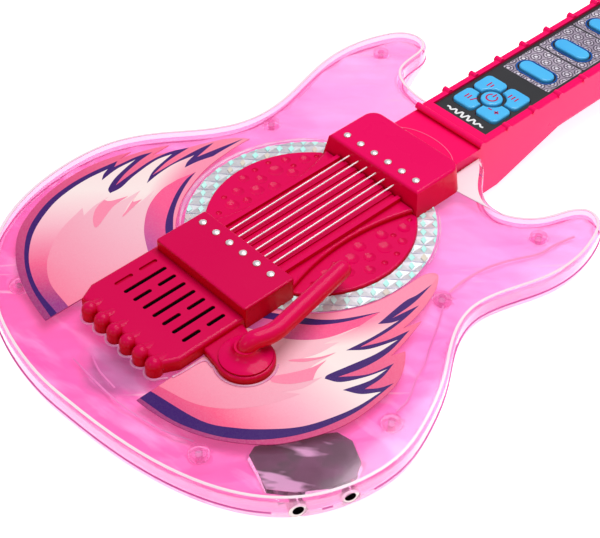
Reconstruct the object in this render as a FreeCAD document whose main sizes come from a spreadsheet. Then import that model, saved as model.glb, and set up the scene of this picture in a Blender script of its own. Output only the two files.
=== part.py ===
"""Toy electric guitar, lying on its back, millimetres.

+Y runs along the neck towards the head, +X is the side with the vibrato bar and the jack
sockets, +Z comes out of the front.  The origin lies on the flat back, under the centre of
the round sound disc.
"""
import FreeCAD, Part
import math
import os
import re

V = FreeCAD.Vector
doc = FreeCAD.newDocument("ToyGuitar")

# ---------------------------------------------------------------- driving dimensions
SIZES = {
    # body
    "face": 26.0,            # height of the flat front above the back
    "seam_drop": 6.0,        # front face down to the parting line
    "belly_drop": 8.0,       # front face down to where the back starts to curve in
    "wall": 2.0,
    "edge_round": 1.2,
    "film_inset": 2.4,
    "boss_radius": 3.0,
    "post_radius": 4.2,
    "screw_radius": 1.25,
    "screw_head": 2.8,
    "screw_seat": 15.5,
    # front trim
    "sticker": 0.3,
    "ring_radius": 44.0,
    "ring_inner": 37.2,
    "disc_radius": 37.0,
    "disc_rise": 1.5,
    "dent_depth": 0.6,
    "deck_near": 29.4,       # string deck from -deck_near ...
    "deck_far": 28.0,        # ... to deck_far
    "deck_half_end": 22.0,
    "deck_half_mid": 17.2,
    "deck_rise": 3.5,
    "frame_half": 16.0,
    "frame_rise": 5.2,
    "tray_half": 14.3,
    "tray_rise": 4.0,
    "string_pitch": 4.4,
    "string_rise": 5.7,      # at the bridge
    "string_climb": 1.3,     # from the bridge to the neck end
    "string_radius": 0.28,
    "string_end": 2.5,       # length held in each block
    "stud_pitch": 6.84,
    "stud_radius": 1.3,
    "stud_rise": 0.8,
    "stud_ball": 2.2,
    "bridge_half": 22.6,
    "bridge_shift": 1.0,     # the block stands a little towards the bar side
    "bridge_far": 51.0,
    "bridge_rise": 9.2,
    "bridge_stud_line": 34.1,
    "tail_half": 23.0,
    "tail_end": 83.5,
    "tail_rise": 5.0,
    "slot_pitch": 4.95,
    "slot_width": 1.5,
    "slot_far": 72.0,
    "slot_near": 54.4,
    "slot_bridge": 1.4,      # half the bar left between two short slots
    "slot_middle": 63.2,
    "finger_pitch": 6.55,
    "finger_radius": 2.9,
    "finger_shift": 1.7,
    "finger_line": 84.0,
    "ear_x": 34.4,
    "ear_y": 60.3,
    "ear_radius": 9.6,
    "ear_rise": 3.0,
    "cover_half": 22.0,
    "cover_lean": 1.7,       # how far its sides and near end lean out at the foot
    "cover_corner": 5.0,
    "cover_far": 52.5,
    "cover_rise": 10.0,
    "cover_stud_line": 34.0,
    # vibrato bar
    "bar_radius": 3.2,
    "bar_rise": 9.2,
    "bar_pin": 2.5,
    "bar_flange": 8.6,
    # neck
    "neck_half": 16.0,
    "neck_start": 52.7,
    "neck_rise": 5.9,
    "plain_rise": 4.0,
    "neck_seam_drop": 4.0,
    "neck_drop": 12.0,
    "heel_drop": 20.0,
    "heel_start": 34.0,
    "ridge_start": 70.2,
    "ridge_pitch": 14.68,
    "ridge_radius": 1.3,
    "label_start": 75.3,
    "label_half": 13.0,
    "label_rise": 5.0,
    "label_thick": 0.5,
    "deck_wall": 2.0,
    "nut_line": 290.4,
    "head_length": 116.0,
    "head_top_drop": 0.5,
    # keys
    "cluster_line": 93.3,
    "petal": 10.2,
    "petal_gap": 1.2,
    "petal_corner": 2.2,
    "power_radius": 4.2,
    "power_ring": 5.6,
    "note_first": 119.2,
    "note_pitch": 21.2,
    "note_length": 15.6,
    "note_width": 6.4,
    "key_rise": 1.2,         # key top above the label
    "key_play": 0.25,        # gap round a key
    "flange_lip": 0.45,
    "flange_thick": 1.0,
    # inside
    "speaker_y": 63.0,
    "speaker_radius": 20.0,
    "bay_half": 24.0,
    "bay_near": 31.0,
    "cell_radius": 7.25,
    "cell_length": 50.5,
    "board_thick": 1.6,
    "jack_hole": 1.8,
    "jack_collar": 3.0,
}

sheet = doc.addObject("Spreadsheet::Sheet", "Sizes")
for row, (alias, number) in enumerate(SIZES.items(), start=1):
    sheet.set("A%d" % row, alias)
    sheet.set("B%d" % row, str(number))
    sheet.setAlias("B%d" % row, alias)
doc.recompute()


def size(alias):
    """The number that the sheet holds for one alias."""
    return float(sheet.get(alias))


def bound(rule):
    """Write "face - wall" as "Sizes.face - Sizes.wall"."""
    def name(word):
        return "Sizes." + word.group() if word.group() in SIZES else word.group()
    return re.sub(r"[a-z]\w*", name, str(rule))


# ---------------------------------------------------------------- outlines
# Body outline, anticlockwise from the tail: the widest line and, beside each point, the
# edge of the flat back that it curves in to.  The back stops short of both horns.
BODY = [
    ((4, -112.5), (3, -96)), ((32, -110), (27, -94)), ((56, -104.3), (48, -89)),
    ((74, -95.3), (63, -81.5)), ((86.5, -82.5), (72.5, -71.5)), ((93, -67), (78, -59)),
    ((94.3, -50), (79, -46)), ((89.8, -34), (75, -34)), ((81.3, -17), (67, -21)),
    ((72, -3), (58.5, -8)), ((67.4, 11), (53, 6)), ((69.8, 25), (53.5, 19)),
    ((74.4, 40), (57, 31)), ((75.3, 55), (59.5, 40)), ((72.5, 67.5), (59, 46.5)),
    ((67.3, 75.8), (56, 50)), ((61, 77.3), (52.5, 50.5)), ((56.3, 72.5), (49, 48)),
    ((53, 64), (46, 44.5)), ((46.5, 56), (41.5, 41)), ((38, 53), (35.5, 39)),
    ((29.5, 56.5), (28.5, 41)), ((20, 67.5), (20, 47)), ((0, 75.5), (0, 56)),
    ((-20, 80.3), (-18, 62)), ((-33, 82.6), (-29, 66)), ((-40.3, 87.5), (-36, 71)),
    ((-42.8, 96.5), (-40, 76.5)), ((-44.8, 105), (-43, 79.5)), ((-50.5, 109.3), (-46.5, 80.5)),
    ((-58, 107.8), (-50, 78.5)), ((-64.3, 98.5), (-52.5, 73)), ((-67.6, 84), (-53, 65)),
    ((-66.8, 68.5), (-51.5, 55.5)), ((-62.2, 51), (-48, 43)), ((-58.8, 35), (-44.5, 29)),
    ((-60, 19), (-46, 14)), ((-67.4, 4.5), (-53.5, 0)), ((-76.5, -8.5), (-62, -12)),
    ((-83.3, -24), (-68, -25)), ((-84.6, -42), (-69.5, -40)), ((-81, -62), (-67, -57)),
    ((-72, -80.5), (-60.5, -73)), ((-58, -95), (-49, -84.5)), ((-38, -105.8), (-33, -92)),
    ((-17, -111.3), (-15, -96)),
]
BOSSES = [(-76, -34), (-53.3, 29.5), (-57, 92), (57, 55), (54.8, 8.4), (81, -42), (50, -93), (-46, -91)]
# Half of the head outline, from the nut to the tip; the other half mirrors it.
HEAD = [(16, 0), (17.5, 9), (25.5, 22), (27, 48), (24.5, 76), (28, 102), (20, 113), (8, 110)]
PEG_ROWS = [32.0, 57.0, 82.0]


def inset(points, depth):
    """Points of an anticlockwise closed outline, each moved inwards by depth."""
    moved = []
    for index, (x, y) in enumerate(points):
        before = points[index - 1]
        after = points[(index + 1) % len(points)]
        along = V(after[0] - before[0], after[1] - before[1], 0)
        along.normalize()
        moved.append((x - along.y * depth, y + along.x * depth))
    return moved


def body_outline(share, depth=0.0):
    """Outline between the widest line (share 0) and the flat back (share 1), set in by depth."""
    mixed = []
    for wide, back in BODY:
        mixed.append(tuple(w + (b - w) * share for w, b in zip(wide, back)))
    return inset(mixed, depth)


def ring_curve(points, height):
    """Closed smooth wire through points at one height."""
    curve = Part.BSplineCurve()
    curve.interpolate([V(x, y, height) for x, y in points], PeriodicFlag=True)
    return Part.Wire(curve.toShape())


def slab(wire, height):
    return Part.Face(wire).extrude(V(0, 0, height))


def polygon(points):
    return Part.makePolygon([V(*point) for point in points] + [V(*points[0])])


def rounded_rectangle(low, high, corner, height):
    """Closed wire of a rectangle with round corners."""
    (x0, y0), (x1, y1) = low, high
    edges = []
    corners = [(x1 - corner, y1 - corner, 0), (x0 + corner, y1 - corner, 90),
               (x0 + corner, y0 + corner, 180), (x1 - corner, y0 + corner, 270)]
    arcs = []
    for cx, cy, start in corners:
        circle = Part.Circle(V(cx, cy, height), V(0, 0, 1), corner)
        arcs.append(Part.Arc(circle, math.radians(start), math.radians(start + 90)).toShape())
    for index, arc in enumerate(arcs):
        edges.append(arc)
        here = arc.lastVertex().Point
        there = arcs[(index + 1) % 4].firstVertex().Point
        if here.distanceToPoint(there) > 1e-6:
            edges.append(Part.makeLine(here, there))
    return Part.Wire(edges)


def block(low, high):
    """Plain box solid between two corners."""
    span = V(*high) - V(*low)
    return Part.makeBox(span.x, span.y, span.z, V(*low))


def rod(radius, start, end):
    along = V(*end) - V(*start)
    return Part.makeCylinder(radius, along.Length, V(*start), along)


def edges_at(shape, height, tolerance=1e-4):
    """Edges that lie wholly at one height."""
    found = []
    for edge in shape.Edges:
        box = edge.BoundBox
        if abs(box.ZMin - height) < tolerance and abs(box.ZMax - height) < tolerance:
            found.append(edge)
    return found


# ---------------------------------------------------------------- document objects
NODES = []


def node(thing):
    """Mark an object as a sub-part that is written out."""
    NODES.append(thing)
    return thing


def feature(name, shape):
    """A sub-part whose shape comes from Part's own functions."""
    thing = doc.addObject("Part::Feature", name)
    thing.Label = name
    thing.Shape = shape
    thing.Placement = FreeCAD.Placement()
    return node(thing)


def place(thing, spot):
    for axis, rule in zip("xyz", spot):
        thing.setExpression("Placement.Base." + axis, bound(rule))
    return thing


def box(name, low, span):
    """Part::Box bound to the sheet: low corner and the three spans."""
    thing = doc.addObject("Part::Box", name)
    for prop, rule in zip(("Length", "Width", "Height"), span):
        thing.setExpression(prop, bound(rule))
    return place(thing, low)


def cylinder(name, foot, radius, height, turn=None):
    """Part::Cylinder bound to the sheet; turn is an (axis, angle) pair that tips it over."""
    thing = doc.addObject("Part::Cylinder", name)
    thing.setExpression("Radius", bound(radius))
    thing.setExpression("Height", bound(height))
    if turn:
        thing.Placement.Rotation = FreeCAD.Rotation(V(*turn[0]), turn[1])
    return place(thing, foot)


def cone(name, foot, low_radius, high_radius, height):
    thing = doc.addObject("Part::Cone", name)
    thing.setExpression("Radius1", bound(low_radius))
    thing.setExpression("Radius2", bound(high_radius))
    thing.setExpression("Height", bound(height))
    return place(thing, foot)


def sphere(name, centre, radius):
    thing = doc.addObject("Part::Sphere", name)
    thing.setExpression("Radius", bound(radius))
    return place(thing, centre)


def fuse(name, things):
    thing = doc.addObject("Part::MultiFuse", name)
    thing.Shapes = things
    thing.Refine = True
    return thing


def group(name, things):
    thing = doc.addObject("Part::Compound", name)
    thing.Links = things
    return thing


def cut(name, base, tools):
    thing = doc.addObject("Part::Cut", name)
    thing.Base = base
    thing.Tool = tools[0] if len(tools) == 1 else group(name + "_tools", tools)
    thing.Refine = True
    return thing


def common(name, first, second):
    thing = doc.addObject("Part::Common", name)
    thing.Base = first
    thing.Tool = second
    return thing


# ---------------------------------------------------------------- body shells
FACE = size("face")
SEAM = FACE - size("seam_drop")
BELLY = FACE - size("belly_drop")
WALL = size("wall")
JACK_OUT = V(0.909, -0.417, 0)               # the way the two jack sockets face
JACKS = [V(83.35, -83.6, SEAM), V(90.05, -68.9, SEAM)]
NECK_SLOT = size("neck_half") + 0.4
BAY_DEPTH = 17.5


def neck_slot():
    low = (-NECK_SLOT, size("heel_start") - 0.4, FACE - size("heel_drop") - 0.4)
    return block(low, (NECK_SLOT, 120, FACE + 1))


def jack_holes():
    return [rod(size("jack_collar") + 0.05, tuple(spot - JACK_OUT * 8), tuple(spot + JACK_OUT * 8))
            for spot in JACKS]


def front_shell():
    skin = slab(ring_curve(body_outline(0), SEAM), FACE - SEAM)
    skin = skin.makeFillet(size("edge_round"), edges_at(skin, FACE))
    hollow = slab(ring_curve(body_outline(0, WALL), SEAM), FACE - SEAM - WALL)
    shell = skin.cut(hollow)
    bosses = []
    pilots = []
    for x, y in BOSSES:
        bosses.append(rod(size("boss_radius"), (x, y, SEAM + 0.3), (x, y, FACE - WALL + 0.5)))
        pilots.append(rod(size("screw_radius"), (x, y, SEAM), (x, y, FACE - WALL)))
    shell = shell.fuse(bosses)
    speaker = rod(size("speaker_radius") - 1.5, (0, -size("speaker_y"), SEAM),
                  (0, -size("speaker_y"), FACE + 1))
    sound = speaker.common(block((-19, -74, SEAM), (19, -52, FACE + 1)))
    bar = rod(size("bar_pin") + 0.3, (size("ear_x"), -size("ear_y"), SEAM),
              (size("ear_x"), -size("ear_y"), FACE + 1))
    slot = block((-NECK_SLOT, size("cover_far") - 4, SEAM - 1), (NECK_SLOT, 120, FACE + 1))
    return shell.cut(pilots + jack_holes() + [sound, bar, slot])


def dish(levels):
    """Loft through (height, share, depth) levels of the body outline."""
    wires = [ring_curve(body_outline(share, depth), height) for height, share, depth in levels]
    return Part.makeLoft(wires, True, False)


def back_shell():
    outside = dish([(BELLY, 0, 0), (7, 0.56, 0), (0, 1, 0)])
    band = slab(ring_curve(body_outline(0), BELLY), SEAM - BELLY)
    inside = dish([(BELLY, 0, WALL), (7.8, 0.56, 2.4), (WALL, 1, 0.6)])
    band_hollow = slab(ring_curve(body_outline(0, WALL), BELLY), SEAM - BELLY + 1)
    shell = outside.fuse(band).cut([inside, band_hollow])
    posts = []
    holes = []
    seat = size("screw_seat")
    for x, y in BOSSES:
        posts.append(rod(size("post_radius"), (x, y, 0), (x, y, SEAM)))
        holes.append(rod(size("screw_head") + 0.2, (x, y, -1), (x, y, seat)))
        holes.append(rod(size("screw_radius") + 0.2, (x, y, seat), (x, y, SEAM + 1)))
    half = size("bay_half")
    near = size("bay_near")
    bay = block((-half - WALL, -near - WALL, 0), (half + WALL, near + WALL, BAY_DEPTH + WALL))
    inner = Part.makeCompound([part.common(outside.fuse(band)) for part in posts + [bay]])
    shell = shell.fuse(inner.Solids)
    bay_hollow = block((-half, -near, -1), (half, near, BAY_DEPTH))
    lug = rod(3.0, (0, near - 3.7, WALL + 0.2), (0, near - 3.7, BAY_DEPTH + 1))
    pilot = rod(size("screw_radius"), (0, near - 3.7, 0), (0, near - 3.7, 12))
    shell = shell.cut(holes + [bay_hollow, neck_slot()] + jack_holes())
    return shell.fuse(lug).cut(pilot)


feature("front_body_shell", front_shell())
feature("back_body_shell", back_shell())


def screw(x, y, head_low, head_high, tip):
    """Pan-head screw, head at the bottom, with a cross recess."""
    head = rod(size("screw_head"), (x, y, head_low), (x, y, head_high))
    head = head.makeFillet(0.6, edges_at(head, head_low))
    shank = rod(size("screw_radius") - 0.02, (x, y, head_high), (x, y, tip))
    cross = [block((x - 1.6, y - 0.3, head_low - 1), (x + 1.6, y + 0.3, head_low + 0.9)),
             block((x - 0.3, y - 1.6, head_low - 1), (x + 0.3, y + 1.6, head_low + 0.9))]
    return head.fuse(shank).cut(cross)


SCREW_SEAT = size("screw_seat")
feature("body_screws", Part.makeCompound(
    [screw(x, y, SCREW_SEAT - 2, SCREW_SEAT, FACE - WALL - 1.6) for x, y in BOSSES]))


def crinkle_film():
    """Thin film that lies under the front wall, cut round everything that stands up there."""
    low = FACE - WALL - 0.4
    sheet_solid = slab(ring_curve(body_outline(0, size("film_inset")), low), 0.3)
    holes = [rod(size("boss_radius") + 0.4, (x, y, low - 1), (x, y, low + 1)) for x, y in BOSSES]
    holes.append(rod(size("speaker_radius") + 1, (0, -size("speaker_y"), low - 1),
                     (0, -size("speaker_y"), low + 1)))
    holes.append(rod(5.0, (size("ear_x"), -size("ear_y"), low - 1), (size("ear_x"), -size("ear_y"), low + 1)))
    holes.append(block((-NECK_SLOT - 1, 30, low - 1), (NECK_SLOT + 1, 120, low + 1)))
    return sheet_solid.cut(holes)


feature("crinkle_film", crinkle_film())

# ---------------------------------------------------------------- trim on the front
TRIM = FACE + size("sticker")
# Edges of the two printed wings as smooth runs, from the tail round to the upper tip.  Each
# new run starts at a feather tip or in the notch beside it.
LEFT_WING = [
    [(-23.3, -96), (-36.5, -93.5), (-48, -89.5), (-58, -83.5), (-65, -77), (-70, -69),
     (-74, -59), (-76, -48), (-76, -37), (-74.5, -29), (-72.5, -22.5)],
    [(-72.5, -22.5), (-72, -28)],
    [(-72, -28), (-69.5, -18), (-66, -9.8)],
    [(-66, -9.8), (-65.7, -17.8)],
    [(-65.7, -17.8), (-61, -7.6), (-56.4, 4.5), (-53.5, 10), (-48.7, 14.5)],
    [(-48.7, 14.5), (-48.8, 9), (-48.2, 2), (-47.1, -5.8), (-44.9, -13.3), (-41.7, -20.8),
     (-38.9, -25.9), (-35.4, -30.4), (-30.4, -35.7), (-23.3, -40.6)],
]
RIGHT_WING = [
    [(23.5, -95.5), (38, -93.4), (47.5, -90), (54.2, -86), (60.4, -81), (65.5, -75.5),
     (69.4, -68.5), (72.5, -61), (74.4, -52), (74.3, -41), (72.6, -31), (70.2, -26), (65.2, -20)],
    [(65.2, -20), (63.5, -24.6)],
    [(63.5, -24.6), (62, -16.6), (59.4, -6.6)],
    [(59.4, -6.6), (57.7, -13.2)],
    [(57.7, -13.2), (56.6, -5.5), (54.2, 3.2), (51.5, 9.3), (48.8, 12.8)],
    [(48.8, 12.8), (47.4, 13.1), (45.6, 11.2), (44.7, 5), (44.5, -1.5), (44, -6.8), (42.6, -13.1),
     (40.5, -18.7), (37.9, -23.6), (34.6, -28.2), (29.7, -33.4), (23.5, -38)],
]


def smooth_run(points, height):
    """Open smooth curve through points, or a straight line between two."""
    spots = [V(x, y, height) for x, y in points]
    if len(spots) == 2:
        return Part.makeLine(*spots)
    curve = Part.BSplineCurve()
    curve.interpolate(spots)
    return curve.toShape()


def wing(runs):
    """Sticker beside the ring and the tail plate, with a hole for the vibrato bar's pin."""
    edges = [smooth_run(run, FACE) for run in runs]
    edges.append(smooth_run([runs[-1][-1], runs[0][0]], FACE))
    plate = slab(Part.Wire(edges), size("sticker"))
    ear_spot = (size("ear_x"), -size("ear_y"))
    return plate.cut(rod(size("bar_pin") + 0.3, ear_spot + (FACE - 1,), ear_spot + (TRIM + 1,)))


feature("left_wing_decal", wing(LEFT_WING))
feature("right_wing_decal", wing(RIGHT_WING))

ring_outer = cylinder("ring_outer", (0, 0, "face"), "ring_radius", "sticker")
ring_hole = cylinder("ring_hole", (0, 0, "face - 1"), "ring_inner", "3")
node(cut("prism_ring", ring_outer, [ring_hole]))


# Round dents in one half of the sound disc, as x, y and radius; the other half mirrors it.
DENTS = [(24, -15.2, 2.5), (28.1, -9, 2.2), (29, -14.8, 1.1), (24, -21.5, 1.1), (22.4, -9.7, 1.7),
         (24, -3.6, 2.6), (32, -2.9, 2), (27.5, 1.4, 2.2), (21.5, 2.5, 2.4), (32.9, 3.2, 1.2),
         (27.6, 8.5, 2.8), (32.6, 9.4, 1.1), (22.5, 12.3, 2.3), (29.5, 15.2, 1.8), (25.3, 15.1, 1.1),
         (25.1, 20.5, 2.3), (23.5, 24.9, 1)]


def sound_disc():
    """Raised disc with shallow round dents on both sides of the string deck."""
    radius = size("disc_radius")
    top = FACE + size("disc_rise")
    depth = size("dent_depth")
    disc = rod(radius, (0, 0, FACE), (0, 0, top))
    disc = disc.makeFillet(0.7, edges_at(disc, top))
    dents = []
    for x, y, reach in DENTS:
        ball = (reach ** 2 + depth ** 2) / (2 * depth)
        dents += [Part.makeSphere(ball, V(side * x, y, top + ball - depth)) for side in (-1, 1)]
    disc = disc.cut(dents)
    keep = block((-50, -size("deck_near") + 0.2, FACE), (50, size("deck_far") - 0.2, top))
    return disc.common(keep)


feature("sound_disc", sound_disc())


def string_deck():
    """Waisted plate under the strings, with a tray and a rib below each string."""
    low = FACE + size("disc_rise")
    top = FACE + size("deck_rise")
    near = -size("deck_near") + 0.1
    far = size("deck_far") - 0.1
    end = size("deck_half_end")
    mid = size("deck_half_mid")
    right = Part.Arc(V(end, near, low), V(mid, (near + far) / 2, low), V(end, far, low)).toShape()
    left = Part.Arc(V(-end, far, low), V(-mid, (near + far) / 2, low), V(-end, near, low)).toShape()
    ends = [Part.makeLine(V(end, far, low), V(-end, far, low)),
            Part.makeLine(V(-end, near, low), V(end, near, low))]
    plate = slab(Part.Wire([right, ends[0], left, ends[1]]), top - low)
    plate = plate.makeFillet(0.8, [e for e in edges_at(plate, top) if e.BoundBox.XLength < end])
    half = size("frame_half")
    frame = block((-half, near, top), (half, far, FACE + size("frame_rise")))
    inner = size("tray_half")
    tray = block((-inner, near, FACE + size("tray_rise")), (inner, far, FACE + 9))
    deck = plate.fuse(frame).cut(tray)
    ribs = []
    for count in range(6):
        x = (count - 2.5) * size("string_pitch")
        ribs.append(block((x - 0.8, near, top), (x + 0.8, far, FACE + size("tray_rise") + 0.6)))
    return deck.fuse(ribs).removeSplitter()


feature("string_deck", string_deck())


CLIMB = size("string_climb") / (size("deck_near") + size("deck_far"))


def string_bores(near, far):
    """Holes that take the string ends, along the climb of the strings."""
    low = FACE + size("string_rise") + CLIMB * (near + size("deck_near"))
    high = FACE + size("string_rise") + CLIMB * (far + size("deck_near"))
    bores = []
    for count in range(6):
        x = (count - 2.5) * size("string_pitch")
        bores.append(rod(size("string_radius") + 0.02, (x, near, low), (x, far, high)))
    return bores


def bridge_cover():
    """One moulding: string block, slotted tail plate, six finger ends and the bar's ear."""
    top = FACE + size("bridge_rise")
    left = size("bridge_shift") - size("bridge_half")
    right = size("bridge_shift") + size("bridge_half")
    near = -size("deck_near")
    far = -size("bridge_far")
    head = slab(rounded_rectangle((left, far), (right, near), 1.0, TRIM), top - TRIM)
    head = head.makeFillet(0.7, edges_at(head, top))
    plate_top = FACE + size("tail_rise")
    wide = size("tail_half")
    end = -size("tail_end")
    joined = far + 1.5
    outline = [(-wide, joined), (-wide, end + 6), (-wide + 3, end), (wide - 3, end), (wide, end + 6),
               (wide, joined)]
    plate = slab(polygon([(x, y, TRIM) for x, y in outline]), plate_top - TRIM)
    rims = [e for e in edges_at(plate, plate_top) if e.BoundBox.YMin < far - 1]
    plate = plate.makeFillet(1.4, rims)
    ear_top = FACE + size("ear_rise")
    ear_spot = (size("ear_x"), -size("ear_y"))
    ear = rod(size("ear_radius"), ear_spot + (TRIM,), ear_spot + (ear_top,))
    neck_of_ear = slab(polygon([(20, -67.8, TRIM), (25, -68.2, TRIM), (ear_spot[0], -69.9, TRIM),
                                (ear_spot[0], -54.5, TRIM), (20, -50.5, TRIM)]), ear_top - TRIM)
    ear = ear.fuse(neck_of_ear).removeSplitter()
    ear = ear.makeFillet(1.0, edges_at(ear, ear_top))
    line = -size("finger_line")
    reach = size("finger_radius")
    solid = head.fuse([plate, ear])
    for count in range(6):
        x = (count - 2.5) * size("finger_pitch") + size("finger_shift")
        post = rod(reach, (x, line, TRIM), (x, line, plate_top - 1.6))
        dome = Part.makeSphere(reach, V(x, line, plate_top - 1.6))
        ridge = rod(reach * 0.93, (x, line, plate_top - 1.8), (x, line + 8, plate_top - 3.2))
        solid = solid.fuse([post, dome, ridge])
    tools = string_bores(near - size("string_end") - 0.2, near + 1)
    tools.append(block((-wide, end - 5, TRIM - 5), (wide, end + 10, TRIM)))
    tools.append(block((left + WALL, far + 1, TRIM - 1), (right - WALL, near - 3, top - WALL)))
    tools.append(block((-wide + 3, -75.5, TRIM - 1), (wide - 3, -53.2, plate_top - WALL)))
    tools.append(rod(size("bar_pin") + 0.05, ear_spot + (TRIM - 1,), ear_spot + (ear_top + 1,)))
    solid = solid.cut(tools)
    return solid.cut(tail_slots(plate_top))


def tail_slots(top):
    """Eight columns of slots, long and split; the outermost split column stays blind."""
    pattern = ["blind", "long", "split", "long", "long", "split", "long", "split"]
    half = size("slot_width") / 2
    far = -size("slot_far")
    near = -size("slot_near")
    middle = -size("slot_middle")
    slots = []
    for column, kind in enumerate(pattern):
        x = (column - 3.5) * size("slot_pitch") + 0.2
        spans = [(far, near)]
        if kind != "long":
            spans = [(far, middle - size("slot_bridge")), (middle + size("slot_bridge"), near)]
        depth = 0.8 if kind == "blind" else WALL + 1
        for start, stop in spans:
            wire = rounded_rectangle((x - half, start), (x + half, stop), half - 0.01, top - depth)
            slots.append(slab(wire, depth + 1))
    return slots


feature("bridge_cover", bridge_cover())


def side_slab(points, half):
    """Side profile of (y, z) points, carried across the neck from -half to half."""
    wire = polygon([(-half, y, z) for y, z in points])
    return Part.Face(wire).extrude(V(2 * half, 0, 0))


def neck_cover():
    """Block that closes the far end of the string deck; its sides and near end lean outwards."""
    top = FACE + size("cover_rise")
    half = size("cover_half")
    lean = size("cover_lean")
    near = size("deck_far")
    far = size("cover_far")
    corner = size("cover_corner")
    levels = [rounded_rectangle((-half - out, near - 10), (half + out, far), corner, height)
              for out, height in ((lean, TRIM), (0, top))]
    shape = Part.makeLoft(levels, True, True)
    keep = side_slab([(near, TRIM), (near + lean, top), (far + 1, top), (far + 1, TRIM)], half + lean)
    shape = shape.common(keep)
    shape = shape.makeFillet(1.2, edges_at(shape, top))
    inside_near = near + lean + size("string_end") + 1
    tools = string_bores(near - 1, inside_near)
    tools.append(block((-half + WALL, inside_near, TRIM - 1), (half - WALL, far - WALL, top - WALL)))
    return shape.cut(tools)


feature("neck_cover", neck_cover())

tilt = math.degrees(math.atan(CLIMB)) - 90
strings = []
for count in range(6):
    across = "%s * string_pitch" % (count - 2.5)
    foot = (across, "-deck_near - string_end",
            "face + string_rise - string_end * string_climb / (deck_near + deck_far)")
    strings.append(cylinder("string_%d" % (count + 1), foot, "string_radius",
                            "deck_near + deck_far + 2 * string_end + cover_lean", ((1, 0, 0), tilt)))
node(group("strings", strings))


def stud(name, across, line, seat):
    """Domed stud: a ball cut back to a short cylinder."""
    ball = sphere(name + "_ball", (across, line, seat + " + stud_rise - stud_ball"), "stud_ball")
    barrel = cylinder(name + "_barrel", (across, line, seat), "stud_radius", "stud_rise + 1")
    return common(name, ball, barrel)


for row_name, line, seat in (("bridge_studs", "-bridge_stud_line", "face + bridge_rise"),
                             ("neck_studs", "cover_stud_line", "face + cover_rise")):
    row_studs = []
    for count in range(6):
        across = "%s * stud_pitch" % (count - 2.5)
        row_studs.append(stud("%s_%d" % (row_name, count + 1), across, line, seat))
    node(group(row_name, row_studs))


# ---------------------------------------------------------------- vibrato bar
def tangent_path(points, radii):
    """Straight runs joined by tangent arcs: one radius for each inner corner."""
    edges = []
    start = V(*points[0])
    for corner, after, radius in zip(points[1:-1], points[2:], radii):
        corner = V(*corner)
        inward = (corner - start).normalize()
        outward = (V(*after) - corner).normalize()
        half_turn = inward.getAngle(outward) / 2
        reach = radius * math.tan(half_turn)
        first = corner - inward * reach
        last = corner + outward * reach
        to_centre = (outward - inward).normalize()
        middle = corner + to_centre * (radius / math.cos(half_turn) - radius)
        edges.append(Part.makeLine(start, first))
        edges.append(Part.Arc(first, middle, last).toShape())
        start = last
    edges.append(Part.makeLine(start, V(*points[-1])))
    return Part.Wire(edges)


def flared_foot(foot, low):
    """Round foot of the bar that sweeps up from a thin disc to the bar's thickness."""
    x, y = foot
    reach = size("bar_flange")
    sweep = [(reach, 0.5), (7, 1.2), (5.3, 2), (4.2, 3.1), (3.6, 4.4)]
    curve = Part.BSplineCurve()
    curve.interpolate([V(x + r, y, low + rise) for r, rise in sweep])
    corners = [V(x + 3.6, y, low + 4.4), V(x, y, low + 4.4), V(x, y, low), V(x + reach, y, low),
               V(x + reach, y, low + 0.5)]
    lines = [Part.makeLine(a, b) for a, b in zip(corners, corners[1:])]
    half = Part.Face(Part.Wire([curve.toShape()] + lines))
    return half.revolve(V(x, y, low), V(0, 0, 1), 360)


def vibrato_bar():
    """Bent round bar on a flange, with the pin that turns in the ear."""
    foot = (size("ear_x"), -size("ear_y"))
    flange_low = FACE + size("ear_rise") + 0.2
    level = FACE + size("bar_rise")
    radius = size("bar_radius")
    tip = (foot[0] - 3.2, foot[1] + 44.7, level)
    route = [foot + (flange_low + 0.6,), foot + (level,), (foot[0] + 3, foot[1] + 9.3, level), tip]
    path = tangent_path(route, [3.9, 14.0])
    profile = Part.Wire(Part.makeCircle(radius, V(*route[0]), V(0, 0, 1)))
    tube = Part.BRepOffsetAPI.MakePipeShell(path)
    tube.add(profile)
    tube.build()
    tube.makeSolid()
    flange = flared_foot(foot, flange_low)
    pin = rod(size("bar_pin"), foot + (FACE - WALL - 0.3,), foot + (flange_low + 0.5,))
    pilot = rod(1.1, foot + (FACE - WALL - 2,), foot + (FACE,))
    bar = tube.shape().fuse([flange, pin, Part.makeSphere(radius, V(*tip))])
    return bar.cut(pilot)


def vibrato_screw():
    foot = (size("ear_x"), -size("ear_y"))
    top = FACE - WALL - 0.3
    head = rod(4.2, foot + (top - 1.6,), foot + (top,))
    return head.fuse(rod(1.08, foot + (top,), foot + (FACE - 1,)))


feature("vibrato_bar", vibrato_bar())
feature("vibrato_screw", vibrato_screw())

# ---------------------------------------------------------------- neck
NECK_HALF = size("neck_half")
NECK_TOP = FACE + size("neck_rise")
NECK_SEAM = FACE - size("neck_seam_drop")
NECK_LOW = FACE - size("neck_drop")
HEEL_LOW = FACE - size("heel_drop")
LABEL_TOP = FACE + size("label_rise")
LABEL_LOW = LABEL_TOP - size("label_thick")
DECK_LOW = LABEL_LOW - size("deck_wall")
NUT = size("nut_line")
HEAD_TOP = FACE - size("head_top_drop")


def head_wire(depth, height):
    """Closed head outline set in by depth, its nut end straight."""
    right = [(x, NUT + y) for x, y in HEAD]
    left = [(-x, y) for x, y in reversed(right)]
    moved = inset(right + left, depth)
    curve = Part.BSplineCurve()
    curve.interpolate([V(x, y, height) for x, y in moved])
    arc = curve.toShape()
    return Part.Wire([arc, Part.makeLine(V(*moved[-1], height), V(*moved[0], height))])


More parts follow.
